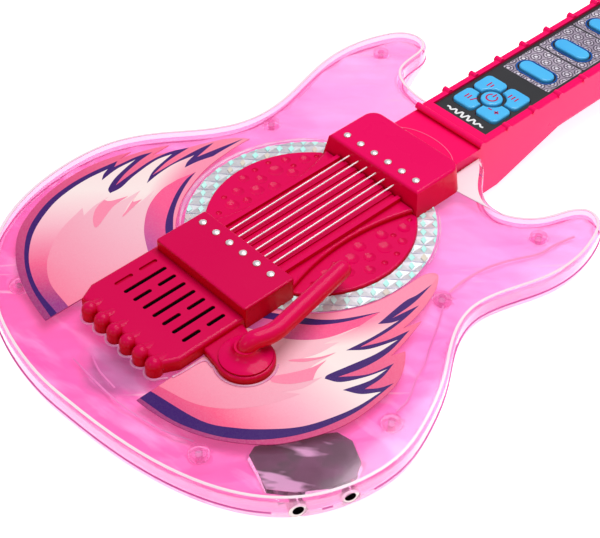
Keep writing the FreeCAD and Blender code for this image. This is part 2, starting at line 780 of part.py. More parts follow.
def petal_prism(across, along, grow, low, high):
    """Quarter key of the cluster: a rounded square cut back round the power key."""
    gap = size("petal_gap") / 2
    reach = gap + size("petal")
    centre = size("cluster_line")
    x0, x1 = sorted((across * gap, across * reach))
    y0, y1 = sorted((along * gap, along * reach))
    wire = rounded_rectangle((x0 - grow, centre + y0 - grow), (x1 + grow, centre + y1 + grow),
                             size("petal_corner"), low)
    bite = rod(size("power_ring") - grow, (0, centre, low - 1), (0, centre, high + 1))
    return slab(wire, high - low).cut(bite)


def power_prism(grow, low, high):
    centre = size("cluster_line")
    return rod(size("power_radius") + grow, (0, centre, low), (0, centre, high))


def note_prism(index, grow, low, high):
    """Key with round ends, across the neck."""
    centre = size("note_first") + index * size("note_pitch")
    half_long = size("note_length") / 2 + grow
    half_wide = size("note_width") / 2 + grow
    wire = rounded_rectangle((-half_long, centre - half_wide), (half_long, centre + half_wide),
                             half_wide - 0.01, low)
    return slab(wire, high - low)


NOTE_COUNT = 8
PETALS = {"mode_key": (-1, -1), "volume_key": (1, -1), "song_key_1": (-1, 1), "song_key_2": (1, 1)}
KEYS = {"power_key": lambda grow, low, high: power_prism(grow, low, high)}
for key_name, (across, along) in PETALS.items():
    KEYS[key_name] = lambda grow, low, high, a=across, b=along: petal_prism(a, b, grow, low, high)
for index in range(NOTE_COUNT):
    KEYS["note_key_%d" % (index + 1)] = lambda grow, low, high, i=index: note_prism(i, grow, low, high)


def key_holes(low, high):
    return [prism(size("key_play"), low, high) for prism in KEYS.values()]


LABEL_END = size("note_first") + (NOTE_COUNT - 0.5) * size("note_pitch") + 2


def neck_front():
    start = size("neck_start")
    outer = side_slab([(start, NECK_LOW - 1), (65, NECK_LOW - 1), (77, NECK_SEAM), (NUT, NECK_SEAM),
                       (NUT, NECK_TOP), (start, NECK_TOP)], NECK_HALF)
    rims = [e for e in edges_at(outer, NECK_TOP) if e.BoundBox.YLength > 50]
    outer = outer.makeFillet(1.0, rims)
    inner = side_slab([(start + WALL, NECK_LOW - 2), (64.5, NECK_LOW - 2), (76, NECK_SEAM - 1.5),
                       (NUT - 4, NECK_SEAM - 1.5), (NUT - 4, DECK_LOW), (start + WALL, DECK_LOW)],
                      NECK_HALF - WALL)
    ridge_line = size("ridge_start")
    plain = block((-20, start - 1, FACE + size("plain_rise")), (20, ridge_line - 0.6, NECK_TOP + 1))
    recess = block((-size("label_half") - 0.1, size("label_start") - 0.1, LABEL_LOW),
                   (size("label_half") + 0.1, LABEL_END + 0.1, NECK_TOP + 1))
    neck = outer.cut([inner, plain, recess])
    ridges = []
    radius = size("ridge_radius")
    level = NECK_TOP - 0.5
    count = 0
    while ridge_line + count * size("ridge_pitch") < NUT - 5:
        y = ridge_line + count * size("ridge_pitch")
        spans = [(-NECK_HALF - 0.5, -size("label_half") - 0.3), (size("label_half") + 0.3, NECK_HALF + 0.5)]
        if count == 0:
            spans = [(-NECK_HALF - 0.5, NECK_HALF + 0.5)]
        ridges += [rod(radius, (a, y, level), (b, y, level)) for a, b in spans]
        count += 1
    neck = neck.fuse(ridges)
    head = slab(head_wire(0, NECK_SEAM), HEAD_TOP - NECK_SEAM)
    head = head.makeFillet(1.4, [e for e in edges_at(head, HEAD_TOP) if e.BoundBox.YLength > 1])
    head = head.cut(slab(head_wire(WALL, NECK_SEAM), HEAD_TOP - NECK_SEAM - WALL))
    bosses = []
    pilots = []
    for x, y in NECK_SCREWS:
        roof = DECK_LOW if y < NUT else HEAD_TOP - WALL
        bosses.append(rod(3.0, (x, y, NECK_SEAM + 0.2), (x, y, roof + 0.2)))
        pilots.append(rod(size("screw_radius"), (x, y, NECK_SEAM), (x, y, roof + 0.1)))
    neck = neck.fuse([head] + bosses)
    return neck.cut(key_holes(DECK_LOW - 1, LABEL_LOW + 1) + peg_holes() + post_holes() + pilots)


def neck_back():
    profile = [(size("heel_start"), HEEL_LOW), (82, HEEL_LOW), (110, NECK_LOW), (NUT, NECK_LOW),
               (NUT, NECK_SEAM), (77, NECK_SEAM), (65, NECK_LOW - 1), (size("heel_start"), NECK_LOW - 1)]
    outer = side_slab(profile, NECK_HALF)
    outer = outer.fuse(slab(head_wire(0, NECK_LOW), NECK_SEAM - NECK_LOW)).removeSplitter()
    rims = [e for e in edges_at(outer, NECK_LOW) if e.BoundBox.YMin > 109 and e.BoundBox.YLength > 1]
    outer = outer.makeFillet(2.5, rims)
    inner = side_slab([(size("heel_start") + WALL, HEEL_LOW + WALL), (81.5, HEEL_LOW + WALL),
                       (109.5, NECK_LOW + WALL), (NUT - 4, NECK_LOW + WALL), (NUT - 4, NECK_SEAM + 1),
                       (size("heel_start") + WALL, NECK_SEAM + 1)], NECK_HALF - WALL)
    neck = outer.cut([inner, slab(head_wire(WALL, NECK_LOW + WALL), NECK_SEAM - NECK_LOW)])
    seats = []
    holes = []
    for x, y in NECK_SCREWS:
        seats.append(rod(3.6, (x, y, NECK_LOW + 0.5), (x, y, NECK_SEAM)))
        holes.append(rod(size("screw_head") + 0.2, (x, y, NECK_LOW - 1), (x, y, NECK_LOW + 4)))
        holes.append(rod(size("screw_radius") + 0.2, (x, y, NECK_LOW), (x, y, NECK_SEAM + 1)))
    return neck.fuse(seats).cut(holes + peg_holes())


NECK_SCREWS = [(0, 150), (0, 213), (0, 276), (0, NUT + 44), (0, NUT + 95)]
PEG_LEVEL = NECK_SEAM - 1.5
PEG_SHAFT = 1.6
POST_RADIUS = 2.2


def peg_places():
    """Side, row height along the neck and the x of the head edge for each peg."""
    return [(side, NUT + row, 27.0) for side in (-1, 1) for row in PEG_ROWS]


def peg_holes():
    return [rod(PEG_SHAFT + 0.05, (side * (edge - 8), y, PEG_LEVEL), (side * (edge + 8), y, PEG_LEVEL))
            for side, y, edge in peg_places()]


def post_holes():
    return [rod(POST_RADIUS + 0.02, (side * (edge - 11), y, NECK_SEAM), (side * (edge - 11), y, FACE + 2))
            for side, y, edge in peg_places()]


feature("neck_front_shell", neck_front())
feature("neck_back_shell", neck_back())
feature("neck_screws", Part.makeCompound(
    [screw(x, y, NECK_LOW + 2, NECK_LOW + 4, NECK_SEAM + (5 if y < NUT else 1.4)) for x, y in NECK_SCREWS]))

label_plate = block((-size("label_half"), size("label_start"), LABEL_LOW),
                    (size("label_half"), LABEL_END, LABEL_TOP))
feature("control_label", label_plate.cut(key_holes(LABEL_LOW - 1, LABEL_TOP + 1)))


def key(prism):
    """Key cap with a flange under the deck and a short plunger."""
    top = LABEL_TOP + size("key_rise")
    flange_high = DECK_LOW - 0.1
    flange_low = flange_high - size("flange_thick")
    cap = prism(0, flange_low, top)
    cap = cap.makeFillet(0.7, edges_at(cap, top))
    flange = prism(size("flange_lip"), flange_low, flange_high)
    centre = cap.BoundBox.Center
    plunger = rod(1.8, (centre.x, centre.y, flange_low - 0.8), (centre.x, centre.y, flange_low + 0.5))
    return cap.fuse([flange, plunger]).removeSplitter()


for key_name, prism in KEYS.items():
    feature(key_name, key(prism))

PAD_TOP = DECK_LOW - 0.1 - size("flange_thick") - 0.8 - 1.0
BOARD_TOP = PAD_TOP - 1.4
board_holes = [rod(3.3, (x, y, 0), (x, y, FACE)) for x, y in NECK_SCREWS]
feature("key_pad", block((-12, 81, BOARD_TOP), (12, LABEL_END, PAD_TOP)).cut(board_holes))
board = block((-12.5, 79, BOARD_TOP - size("board_thick")), (12.5, LABEL_END, BOARD_TOP))
feature("neck_board", board.cut(board_holes))

nut_box = box("nut_box", ("-neck_half", "nut_line - 1.2", "face - head_top_drop + 0.02"),
              ("2 * neck_half", "3", "neck_rise + head_top_drop + 0.6"))
nut_gap = box("nut_gap", ("-neck_half - 1", "nut_line - 2", "face - 2"),
              ("2 * neck_half + 2", "2.02", "neck_rise + 2.02"))
node(cut("nut_bar", nut_box, [nut_gap]))


def tuner_peg(side, y, edge):
    """Shaft with an oval thumb button."""
    shaft = rod(PEG_SHAFT, (side * (edge - 6), y, PEG_LEVEL), (side * (edge + 5), y, PEG_LEVEL))
    button = rod(5.0, (side * (edge + 7.5), y - 1.6, PEG_LEVEL), (side * (edge + 7.5), y + 1.6, PEG_LEVEL))
    button = button.makeChamfer(0.9, [e for e in button.Edges if e.Closed])
    return shaft.fuse(button)


def string_post(side, y, edge):
    spot = (side * (edge - 11), y)
    post = rod(POST_RADIUS, spot + (HEAD_TOP - WALL,), spot + (HEAD_TOP + 3.4,))
    post = post.makeFillet(0.7, edges_at(post, HEAD_TOP + 3.4))
    collar = rod(4.0, spot + (HEAD_TOP,), spot + (HEAD_TOP + 0.8,))
    return post.fuse(collar)


feature("tuner_pegs", Part.makeCompound([tuner_peg(*spot) for spot in peg_places()]))
feature("string_posts", Part.makeCompound([string_post(*spot) for spot in peg_places()]))

# ---------------------------------------------------------------- inside
SPEAKER = ("0", "-speaker_y")
basket_rim = cylinder("basket_rim", SPEAKER + ("face - wall - 1.6",), "speaker_radius", "1.5")
basket_cone = cone("basket_cone", SPEAKER + ("face - wall - 9.6",), "11", "speaker_radius - 1.5", "8")
basket = fuse("basket", [basket_rim, basket_cone])
basket_hollow = cone("basket_hollow", SPEAKER + ("face - wall - 8.6",), "9.5", "speaker_radius - 2.2", "7.2")
basket_mouth = cylinder("basket_mouth", SPEAKER + ("face - wall - 1.5",), "speaker_radius - 2.2", "3")
basket_hole = cylinder("basket_hole", SPEAKER + ("face - wall - 11",), "6", "4")
node(cut("speaker_basket", basket, [basket_hollow, basket_mouth, basket_hole]))
diaphragm = cone("diaphragm", SPEAKER + ("face - wall - 8.5",), "8.6", "speaker_radius - 2.4", "7")
diaphragm_hollow = cone("diaphragm_hollow", SPEAKER + ("face - wall - 8",), "8.2", "speaker_radius - 2.9", "6.6")
node(cut("speaker_cone", diaphragm, [diaphragm_hollow]))
node(cylinder("speaker_magnet", SPEAKER + ("face - wall - 15.6",), "10", "6"))


def aligned_block(centre, half, back, front, low, high):
    """Box beside the jack wall: half is across, back and front run along JACK_OUT."""
    across = V(-JACK_OUT.y, JACK_OUT.x, 0)
    corners = [centre + across * a + JACK_OUT * b
               for a, b in ((-half, back), (half, back), (half, front), (-half, front))]
    wire = polygon([(c.x, c.y, low) for c in corners])
    return slab(wire, high - low)


def jack_bushing(spot):
    outer = rod(size("jack_collar"), tuple(spot - JACK_OUT * 7), tuple(spot + JACK_OUT * 1.2))
    hole = rod(size("jack_hole"), tuple(spot - JACK_OUT * 8), tuple(spot + JACK_OUT * 2))
    return outer.cut(hole)


def jack_body(spot):
    body = aligned_block(spot, 4.2, -18, -5.0, SEAM - 3.7, SEAM + 3.4)
    hole = rod(size("jack_hole") + 0.8, tuple(spot - JACK_OUT * 15), tuple(spot))
    seat = rod(size("jack_collar") + 0.02, tuple(spot - JACK_OUT * 7.02), tuple(spot))
    return body.cut([hole, seat])


feature("jack_bushings", Part.makeCompound([jack_bushing(spot) for spot in JACKS]))
feature("jack_bodies", Part.makeCompound([jack_body(spot) for spot in JACKS]))
MID_JACK = (JACKS[0] + JACKS[1]) / 2
JACK_BOARD_TOP = SEAM - 3.75
feature("jack_board", aligned_block(MID_JACK, 14, -28, -8.5, JACK_BOARD_TOP - size("board_thick"),
                                    JACK_BOARD_TOP))

MAIN_LOW = 8.0
node(box("main_board", ("-64", "-62", MAIN_LOW), ("34", "40", "board_thick")))


def led(x, y, base):
    """Round LED on its board."""
    skirt = rod(2.9, (x, y, base), (x, y, base + 1))
    lens = rod(2.5, (x, y, base), (x, y, base + 5))
    return skirt.fuse([lens, Part.makeSphere(2.5, V(x, y, base + 5))])


MAIN_TOP = MAIN_LOW + size("board_thick")
LED_SPOTS = [(-60, -58), (-60, -26), (-34, -58)]
feature("body_leds", Part.makeCompound([led(x, y, MAIN_TOP) for x, y in LED_SPOTS]))
feature("circuit_chips", Part.makeCompound([
    block((-52, -48, MAIN_TOP), (-40, -40, MAIN_TOP + 1.8)),
    block((-54, -34, MAIN_TOP), (-47, -29, MAIN_TOP + 1.4)),
    rod(3.2, (-40, -30, MAIN_TOP), (-40, -30, MAIN_TOP + 8))]))

BAY_HALF = size("bay_half")
BAY_NEAR = size("bay_near")
CELL_FOOT = -27.0
door = block((-BAY_HALF + 0.2, -BAY_NEAR + 0.2, 0), (BAY_HALF - 0.2, BAY_NEAR - 0.2, WALL))
LUG_Y = BAY_NEAR - 3.7
door = door.cut([rod(size("screw_radius") + 0.2, (0, LUG_Y, -1), (0, LUG_Y, WALL + 1)),
                 rod(size("screw_head") + 0.2, (0, LUG_Y, -1), (0, LUG_Y, 1.2))])
feature("battery_door", door)
door_head = rod(size("screw_head"), (0, LUG_Y, 0.1), (0, LUG_Y, 1.2))
feature("battery_door_screw", door_head.fuse(rod(size("screw_radius") - 0.02, (0, LUG_Y, 1.2), (0, LUG_Y, 10))))

cells = []
caps = []
for count in range(3):
    x = (count - 1) * (2 * size("cell_radius") + 0.8)
    z = WALL + 0.3 + size("cell_radius")
    stop = CELL_FOOT + size("cell_length")
    can = rod(size("cell_radius"), (x, CELL_FOOT, z), (x, stop - 1, z))
    can = can.makeFillet(0.8, [e for e in can.Edges if e.Closed])
    cells.append(can.fuse(rod(2.6, (x, stop - 1.5, z), (x, stop, z))))
    caps.append(block((x - 5, stop + 0.05, z - 5), (x + 5, stop + 0.55, z + 5)))
    plate = block((x - 5, CELL_FOOT - 3.4, z - 5), (x + 5, CELL_FOOT - 2.9, z + 5))
    coil = Part.makeCone(4.6, 3.0, 2.85, V(x, CELL_FOOT - 2.9, z), V(0, 1, 0))
    hollow = Part.makeCone(3.8, 2.2, 2.85, V(x, CELL_FOOT - 2.9, z), V(0, 1, 0))
    caps.append(plate.fuse(coil.cut(hollow)))
feature("aa_cells", Part.makeCompound(cells))
feature("battery_contacts", Part.makeCompound(caps))

# ---------------------------------------------------------------- check and write
doc.recompute()
for thing in doc.Objects:
    if "Invalid" in thing.State or "Error" in thing.State:
        raise RuntimeError("%s did not compute: %s" % (thing.Name, thing.State))
os.makedirs("parts", exist_ok=True)
for thing in NODES:
    shape = thing.Shape
    if shape.isNull() or not shape.isValid() or not shape.Solids:
        raise RuntimeError("%s has no valid solid" % thing.Label)
    shape.exportStep("parts/%s.step" % thing.Label)
    box_ = shape.BoundBox
    print("%-20s %3d solids %9.1f mm3  x %.1f..%.1f y %.1f..%.1f z %.1f..%.1f" % (
        thing.Label, len(shape.Solids), shape.Volume, box_.XMin, box_.XMax,
        box_.YMin, box_.YMax, box_.ZMin, box_.ZMax))
print(len(NODES), "sub-parts written")
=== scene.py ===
"""Looks of the toy electric guitar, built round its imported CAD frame.  Blender 4.5, metres."""
import math
import random

import bmesh
import bpy
from mathutils import Matrix, Vector, geometry, noise


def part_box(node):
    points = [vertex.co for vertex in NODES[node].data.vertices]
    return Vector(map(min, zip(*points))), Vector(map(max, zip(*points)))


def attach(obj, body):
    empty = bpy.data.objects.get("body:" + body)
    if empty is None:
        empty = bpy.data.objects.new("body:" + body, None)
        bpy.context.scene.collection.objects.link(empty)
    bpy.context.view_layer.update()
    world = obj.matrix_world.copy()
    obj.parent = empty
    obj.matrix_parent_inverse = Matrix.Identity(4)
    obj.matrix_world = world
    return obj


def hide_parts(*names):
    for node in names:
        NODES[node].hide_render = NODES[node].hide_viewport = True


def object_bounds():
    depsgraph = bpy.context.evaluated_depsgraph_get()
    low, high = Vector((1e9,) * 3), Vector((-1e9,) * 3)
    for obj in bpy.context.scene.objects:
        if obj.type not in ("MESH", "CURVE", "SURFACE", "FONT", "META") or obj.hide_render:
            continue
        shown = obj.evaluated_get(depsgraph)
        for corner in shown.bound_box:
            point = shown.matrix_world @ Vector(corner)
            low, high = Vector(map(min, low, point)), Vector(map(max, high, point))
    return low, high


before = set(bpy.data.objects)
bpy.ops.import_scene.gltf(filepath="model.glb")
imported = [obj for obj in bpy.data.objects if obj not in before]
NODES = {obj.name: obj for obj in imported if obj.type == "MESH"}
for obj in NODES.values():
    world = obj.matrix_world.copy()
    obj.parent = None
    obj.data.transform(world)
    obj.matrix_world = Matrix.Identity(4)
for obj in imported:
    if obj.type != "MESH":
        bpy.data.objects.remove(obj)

CAD_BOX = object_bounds()
MM = 0.001
scene = bpy.context.scene


# ---------------------------------------------------------------- shader helpers
def rgb(red, green, blue):
    """Linear colour from ordinary 0-255 screen values."""
    def linear(value):
        value /= 255.0
        return value / 12.92 if value <= 0.04045 else ((value + 0.055) / 1.055) ** 2.4
    return (linear(red), linear(green), linear(blue), 1.0)


class Graph:
    """A node material being written: every method adds one node and returns its output."""

    def __init__(self, name):
        self.material = bpy.data.materials.new(name)
        self.material.use_nodes = True
        self.tree = self.material.node_tree
        self.tree.nodes.clear()
        self.coords = self.node("ShaderNodeTexCoord").outputs["Object"]

    def node(self, kind, inputs=None, **settings):
        made = self.tree.nodes.new(kind)
        for key, value in settings.items():
            setattr(made, key, value)
        for key, value in (inputs or {}).items():
            socket = made.inputs[key]
            if isinstance(value, bpy.types.NodeSocket):
                self.tree.links.new(value, socket)
            else:
                socket.default_value = value
        return made

    def noise(self, scale, detail=3.0, stretch=None, turn=0.0):
        where = self.turned(turn) if turn else self.coords
        if stretch:
            where = self.node("ShaderNodeMapping", {"Vector": where, "Scale": stretch}).outputs[0]
        return self.node("ShaderNodeTexNoise", {"Vector": where, "Scale": scale,
                                                "Detail": detail}).outputs["Fac"]

    def swing(self, scale, detail, size):
        """Noise that wanders evenly to both sides of nothing, size from end to end."""
        return self.math("MULTIPLY", self.math("SUBTRACT", self.noise(scale, detail), 0.5), size)

    def turned(self, degrees):
        """The coordinates turned about the upright axis."""
        return self.node("ShaderNodeVectorRotate", {"Vector": self.coords,
                                                    "Angle": math.radians(degrees)},
                         rotation_type="Z_AXIS").outputs[0]

    def math(self, operation, first, second=0.0):
        return self.node("ShaderNodeMath", {0: first, 1: second}, operation=operation).outputs[0]

    def axis(self, name):
        return self.node("ShaderNodeSeparateXYZ", {0: self.coords}).outputs[name]

    def tilt(self, name="Z"):
        """One part of the surface's own direction: Z is 1 on a face that looks straight up."""
        slope = self.node("ShaderNodeNewGeometry").outputs["True Normal"]
        return self.node("ShaderNodeSeparateXYZ", {0: slope}).outputs[name]

    def distance(self, centre):
        return self.node("ShaderNodeVectorMath", {0: self.coords, 1: centre},
                         operation="DISTANCE").outputs["Value"]

    def facing(self, power, **inputs):
        """0 where one looks straight at the surface, 1 where one looks along it."""
        layer = self.node("ShaderNodeLayerWeight", {"Blend": 0.5, **inputs}).outputs["Facing"]
        return self.math("POWER", layer, power)

    def span(self, value, low, high, out_low=0.0, out_high=1.0):
        return self.node("ShaderNodeMapRange", {0: value, 1: low, 2: high, 3: out_low,
                                                4: out_high}).outputs[0]

    def ramp(self, value, stops):
        made = self.node("ShaderNodeValToRGB", {"Fac": value})
        band = made.color_ramp
        while len(band.elements) < len(stops):
            band.elements.new(0.5)
        for element, (place, colour) in zip(band.elements, stops):
            element.position = place
            element.color = colour
        return made.outputs["Color"]

    def mix(self, factor, first, second):
        made = self.node("ShaderNodeMix", {0: factor}, data_type="RGBA")
        for socket, value in ((made.inputs[6], first), (made.inputs[7], second)):
            if isinstance(value, bpy.types.NodeSocket):
                self.tree.links.new(value, socket)
            else:
                socket.default_value = value
        return made.outputs[2]

    def bump(self, height, strength, distance):
        return self.node("ShaderNodeBump", {"Height": height, "Strength": strength,
                                            "Distance": distance}).outputs[0]

    def shader(self, **inputs):
        named = {key.replace("_", " "): value for key, value in inputs.items()}
        return self.node("ShaderNodeBsdfPrincipled", named).outputs[0]

    def see_through(self, cover, tint, body):
        """The body shader, let through by what cover leaves open, in a clear tint."""
        clear = self.node("ShaderNodeBsdfTransparent", {"Color": tint}).outputs[0]
        return self.node("ShaderNodeMixShader", {0: cover, 1: clear, 2: body}).outputs[0]

    def smear(self, roughness, low=0.85, high=1.2):
        """Roughness that changes with fingerprints."""
        return self.span(self.noise(60.0, 5.0), 0.3, 0.75, roughness * low, roughness * high)

    def finish(self, surface):
        self.node("ShaderNodeOutputMaterial", {"Surface": surface})
        return self.material


def plastic(name, colour, shade, roughness, coat=0.0, grain=900.0, grain_height=0.00002,
            specular=0.3, light=None):
    """Moulded plastic: soft colour drift, a fine moulded grain, fingerprints in the gloss."""
    g = Graph(name)
    tone = g.mix(g.span(g.noise(28.0, 4.0), 0.35, 0.7), colour, shade)
    if light:
        tone = g.mix(g.span(g.noise(160.0, 5.0), 0.62, 0.8), tone, light)
    height = g.math("ADD", g.math("MULTIPLY", g.noise(45.0, 2.0), 2.0), g.noise(grain, 2.0))
    surface = g.shader(Base_Color=tone, Roughness=g.smear(roughness), Coat_Weight=coat,
                       Coat_Roughness=0.08, Specular_IOR_Level=specular,
                       Normal=g.bump(height, 0.25, grain_height))
    return g.finish(surface)


def shaded_plastic(name, top, side, hollow_shade_colour, roughness):
    """Crimson moulding with painted light: a painted sheen turns faces that look up bluer, and
    painted shade turns walls redder and hollows darker.
    """
    g = Graph(name)
    # painted sheen: the upward tilt of a face mixes in the bluer top colour
    painted_up_sheen = g.span(g.math("ADD", g.tilt(), g.swing(28.0, 4.0, 0.3)), 0.25, 0.95)
    # painted shade: ambient occlusion darkens hollows and recesses
    painted_hollow_shade = g.node("ShaderNodeAmbientOcclusion", {"Distance": 0.003}, samples=4).outputs["AO"]
    colour = g.mix(painted_up_sheen, side, top)
    colour = g.mix(g.span(painted_hollow_shade, 0.3, 0.85, 1.0, 0.0), colour, hollow_shade_colour)
    height = g.math("ADD", g.math("MULTIPLY", g.noise(45.0, 2.0), 2.0), g.noise(900.0, 2.0))
    surface = g.shader(Base_Color=colour, Roughness=g.smear(roughness), Specular_IOR_Level=0.06,
                       Coat_Weight=0.16, Coat_Roughness=0.08,
                       Normal=g.bump(height, 0.25, 0.00002))
    return g.finish(surface)


def metal(name, colour, roughness, stretch=(1.0, 1.0, 1.0), scratch=600.0, metallic=1.0):
    """Plated or drawn metal with fine scratches and slight tarnish."""
    g = Graph(name)
    lines = g.noise(scratch, 3.0, stretch)
    tarnish = g.span(g.noise(120.0, 4.0), 0.4, 0.75)
    dull = rgb(150, 146, 150)
    surface = g.shader(Base_Color=g.mix(g.math("MULTIPLY", tarnish, 0.35), colour, dull),
                       Metallic=metallic,
                       Roughness=g.span(lines, 0.3, 0.7, roughness * 0.7, roughness * 1.5),
                       Normal=g.bump(lines, 0.15, 0.00001))
    return g.finish(surface)


def clear_pink():
    """Clear pink body moulding: see-through, glossy, pinker where one looks along it."""
    g = Graph("clear_pink_moulding")
    flow = g.noise(22.0, 3.0, (1.0, 0.35, 1.0))
    tint = g.mix(g.span(flow, 0.35, 0.65), rgb(255, 232, 249), rgb(255, 240, 252))
    ripple = g.bump(g.noise(35.0, 2.0), 0.2, 0.0002)
    # the faint pink emission is a painted glow; the shell is no lamp
    body = g.shader(Base_Color=rgb(250, 142, 198), Roughness=0.12, Normal=ripple,
                    Coat_Weight=0.6, Coat_Roughness=0.04, Emission_Color=rgb(255, 150, 210),
                    Emission_Strength=0.08)
    milky = g.span(g.facing(2.0, Normal=ripple), 0.0, 1.0, 0.03, 0.5)
    upright = g.span(g.math("ABSOLUTE", g.tilt()), 0.35, 0.8, 0.24, 0.0)
    murk = g.see_through(g.math("ADD", milky, upright), tint, body)
    shine = g.node("ShaderNodeBsdfGlossy", {"Color": (1, 1, 1, 1), "Roughness": 0.06,
                                            "Normal": ripple}).outputs[0]
    rim = g.span(g.facing(5.0, Normal=ripple), 0.0, 1.0, 0.04, 1.0)
    return g.finish(g.node("ShaderNodeMixShader", {0: rim, 1: murk, 2: shine}).outputs[0])


def smoky_cover():
    """Dark see-through cover over the sockets, with ragged bright painted reflections."""
    g = Graph("smoky_socket_cover")
    board = g.span(g.noise(90.0, 3.0), 0.5, 0.62, 0.0, 0.7)
    colour = g.mix(g.span(g.noise(70.0, 4.0), 0.35, 0.65), rgb(58, 52, 56), rgb(112, 104, 108))
    colour = g.mix(board, colour, rgb(40, 92, 62))
    # painted reflection: a ragged white streak mixed into the colour
    painted_glint = g.span(g.noise(75.0, 3.0, (0.5, 1.6, 1.0), turn=-40.0), 0.58, 0.64)
    colour = g.mix(painted_glint, colour, rgb(248, 246, 248))
    body = g.shader(Base_Color=colour, Roughness=0.12, Coat_Weight=0.6,
                    Normal=g.bump(g.noise(120.0, 3.0), 0.3, 0.0003))
    cover = g.span(g.noise(45.0, 2.0), 0.3, 0.7, 0.7, 0.95)
    return g.finish(g.see_through(cover, rgb(190, 170, 186), body))


def clear_lip():
    """Moulded lip of clear pink plastic: half see-through, white where one looks along it."""
    g = Graph("clear_moulded_lip")
    streak = g.span(g.noise(150.0, 3.0), 0.4, 0.65)
    colour = g.mix(streak, rgb(255, 188, 232), rgb(255, 240, 252))
    body = g.shader(Base_Color=colour, Roughness=0.1, Coat_Weight=0.8, Coat_Roughness=0.05,
                    Normal=g.bump(g.noise(60.0, 2.0), 0.2, 0.0002))
    cover = g.span(g.facing(2.0), 0.0, 0.7, 0.42, 0.95)
    return g.finish(g.see_through(cover, rgb(255, 222, 246), body))


def film_look():
    """Crinkled film inside the body: hot pink towards the tail, pale towards the horns, partly
    painted light and partly the deeper tint of thicker plastic; it carries painted highlights,
    painted shade in its folds, painted glints and a painted glow.
    """
    g = Graph("crinkled_film")
    # the change from tail to horns is partly painted light, partly the tint of thicker plastic
    along = g.span(g.axis("Y"), -0.11, 0.11)
    tone = g.ramp(g.math("ADD", along, g.swing(30.0, 4.0, 0.4)), [
        (0.0, rgb(247, 132, 194)), (0.3, rgb(249, 142, 204)), (0.5, rgb(251, 188, 230)),
        (0.7, rgb(252, 226, 246)), (1.0, rgb(254, 246, 252))])
    long_wave = g.noise(26.0, 3.0, (0.6, 1.7, 1.0), turn=-20.0)
    fine_wave = g.noise(60.0, 5.0, (0.5, 1.9, 1.0), turn=-10.0)
    # painted shade: darker pink bands along the folds
    colour = g.mix(g.span(long_wave, 0.5, 0.66, 0.0, 0.4), tone, rgb(238, 116, 196))
    # painted highlight: near-white streaks along the crinkles
    colour = g.mix(g.span(fine_wave, 0.52, 0.68, 0.0, 0.6), colour, rgb(255, 232, 250))
    # painted glints: small pale streaks of reflected light
    painted_glint = g.span(g.noise(85.0, 3.0, (0.25, 3.0, 1.0), turn=-50.0), 0.66, 0.74)
    colour = g.mix(painted_glint, colour, rgb(255, 252, 236))
    # a ragged grey-purple patch on the film just past the fingers, greyest at its middle
    grey_patch_reach = g.distance((0.006, -0.090, 0.0236))
    ragged = g.math("ADD", grey_patch_reach, g.math("MULTIPLY", g.noise(110.0, 4.0), 0.012))
    colour = g.mix(g.span(ragged, 0.012, 0.020, 0.75, 0.0), colour, rgb(158, 112, 150))
    # the emission is a painted glow, standing for light let through from below
    body = g.shader(Base_Color=colour, Roughness=0.24, Specular_IOR_Level=0.5,
                    Emission_Color=colour, Emission_Strength=0.28,
                    Normal=g.bump(fine_wave, 0.5, 0.0004))
    cover = g.span(g.noise(40.0, 3.0, (0.5, 1.8, 1.0), turn=-45.0), 0.3, 0.7, 0.72, 0.95)
    return g.finish(g.see_through(cover, rgb(255, 222, 245), body))


def printed(name, stops, low=-0.095, high=0.014, sideways=0.0, warm=None, grain=0.07):
    """Print on glossy film: colour bands along the body, with a fine printed grain."""
    g = Graph(name)
    place = g.axis("Y")
    if sideways:
        place = g.math("ADD", place, g.math("MULTIPLY", g.axis("X"), sideways))
    place = g.math("ADD", place, g.swing(40.0, 2.0, 0.006))
    colour = g.ramp(g.span(place, low, high), stops)
    if warm:
        centre, near, far, tone = warm
        colour = g.mix(g.span(g.distance(centre), near, far, 1.0, 0.0), colour, tone)
    dots = g.span(g.noise(2600.0, 1.0), 0.3, 0.7, 0.0, grain)
    colour = g.mix(dots, colour, rgb(255, 235, 240))
    surface = g.shader(Base_Color=colour, Roughness=g.span(g.noise(90.0, 4.0), 0.3, 0.7, 0.22, 0.34),
                       Specular_IOR_Level=0.15, Normal=g.bump(g.noise(500.0, 3.0), 0.1, 0.00002))
    return g.finish(surface)


def foil(name, base, second):
    """Silver prism foil: two tones picked out by the tilt of each little facet, painted reflections
    of the light the facets catch, with a pale cyan painted glint and fine painted white sparkle.
    """
    g = Graph(name)
    colour = g.mix(g.span(g.tilt("Y"), -0.25, 0.25), base, second)
    colour = g.mix(g.span(g.tilt("X"), -0.25, 0.25, 0.0, 0.5), colour, rgb(214, 244, 250))
    # painted sparkle: fine white specks of reflected light
    colour = g.mix(g.span(g.noise(900.0, 3.0), 0.35, 0.7, 0.0, 0.3), colour, rgb(255, 250, 255))
    surface = g.shader(Base_Color=colour, Metallic=0.55, Roughness=0.4, Coat_Weight=0.3,
                       Normal=g.bump(g.noise(700.0, 2.0), 0.2, 0.00003))
    return g.finish(surface)


CRIMSON = shaded_plastic("crimson_moulding", rgb(228, 0, 88), rgb(212, 0, 30),
                         rgb(190, 0, 12), 0.3)
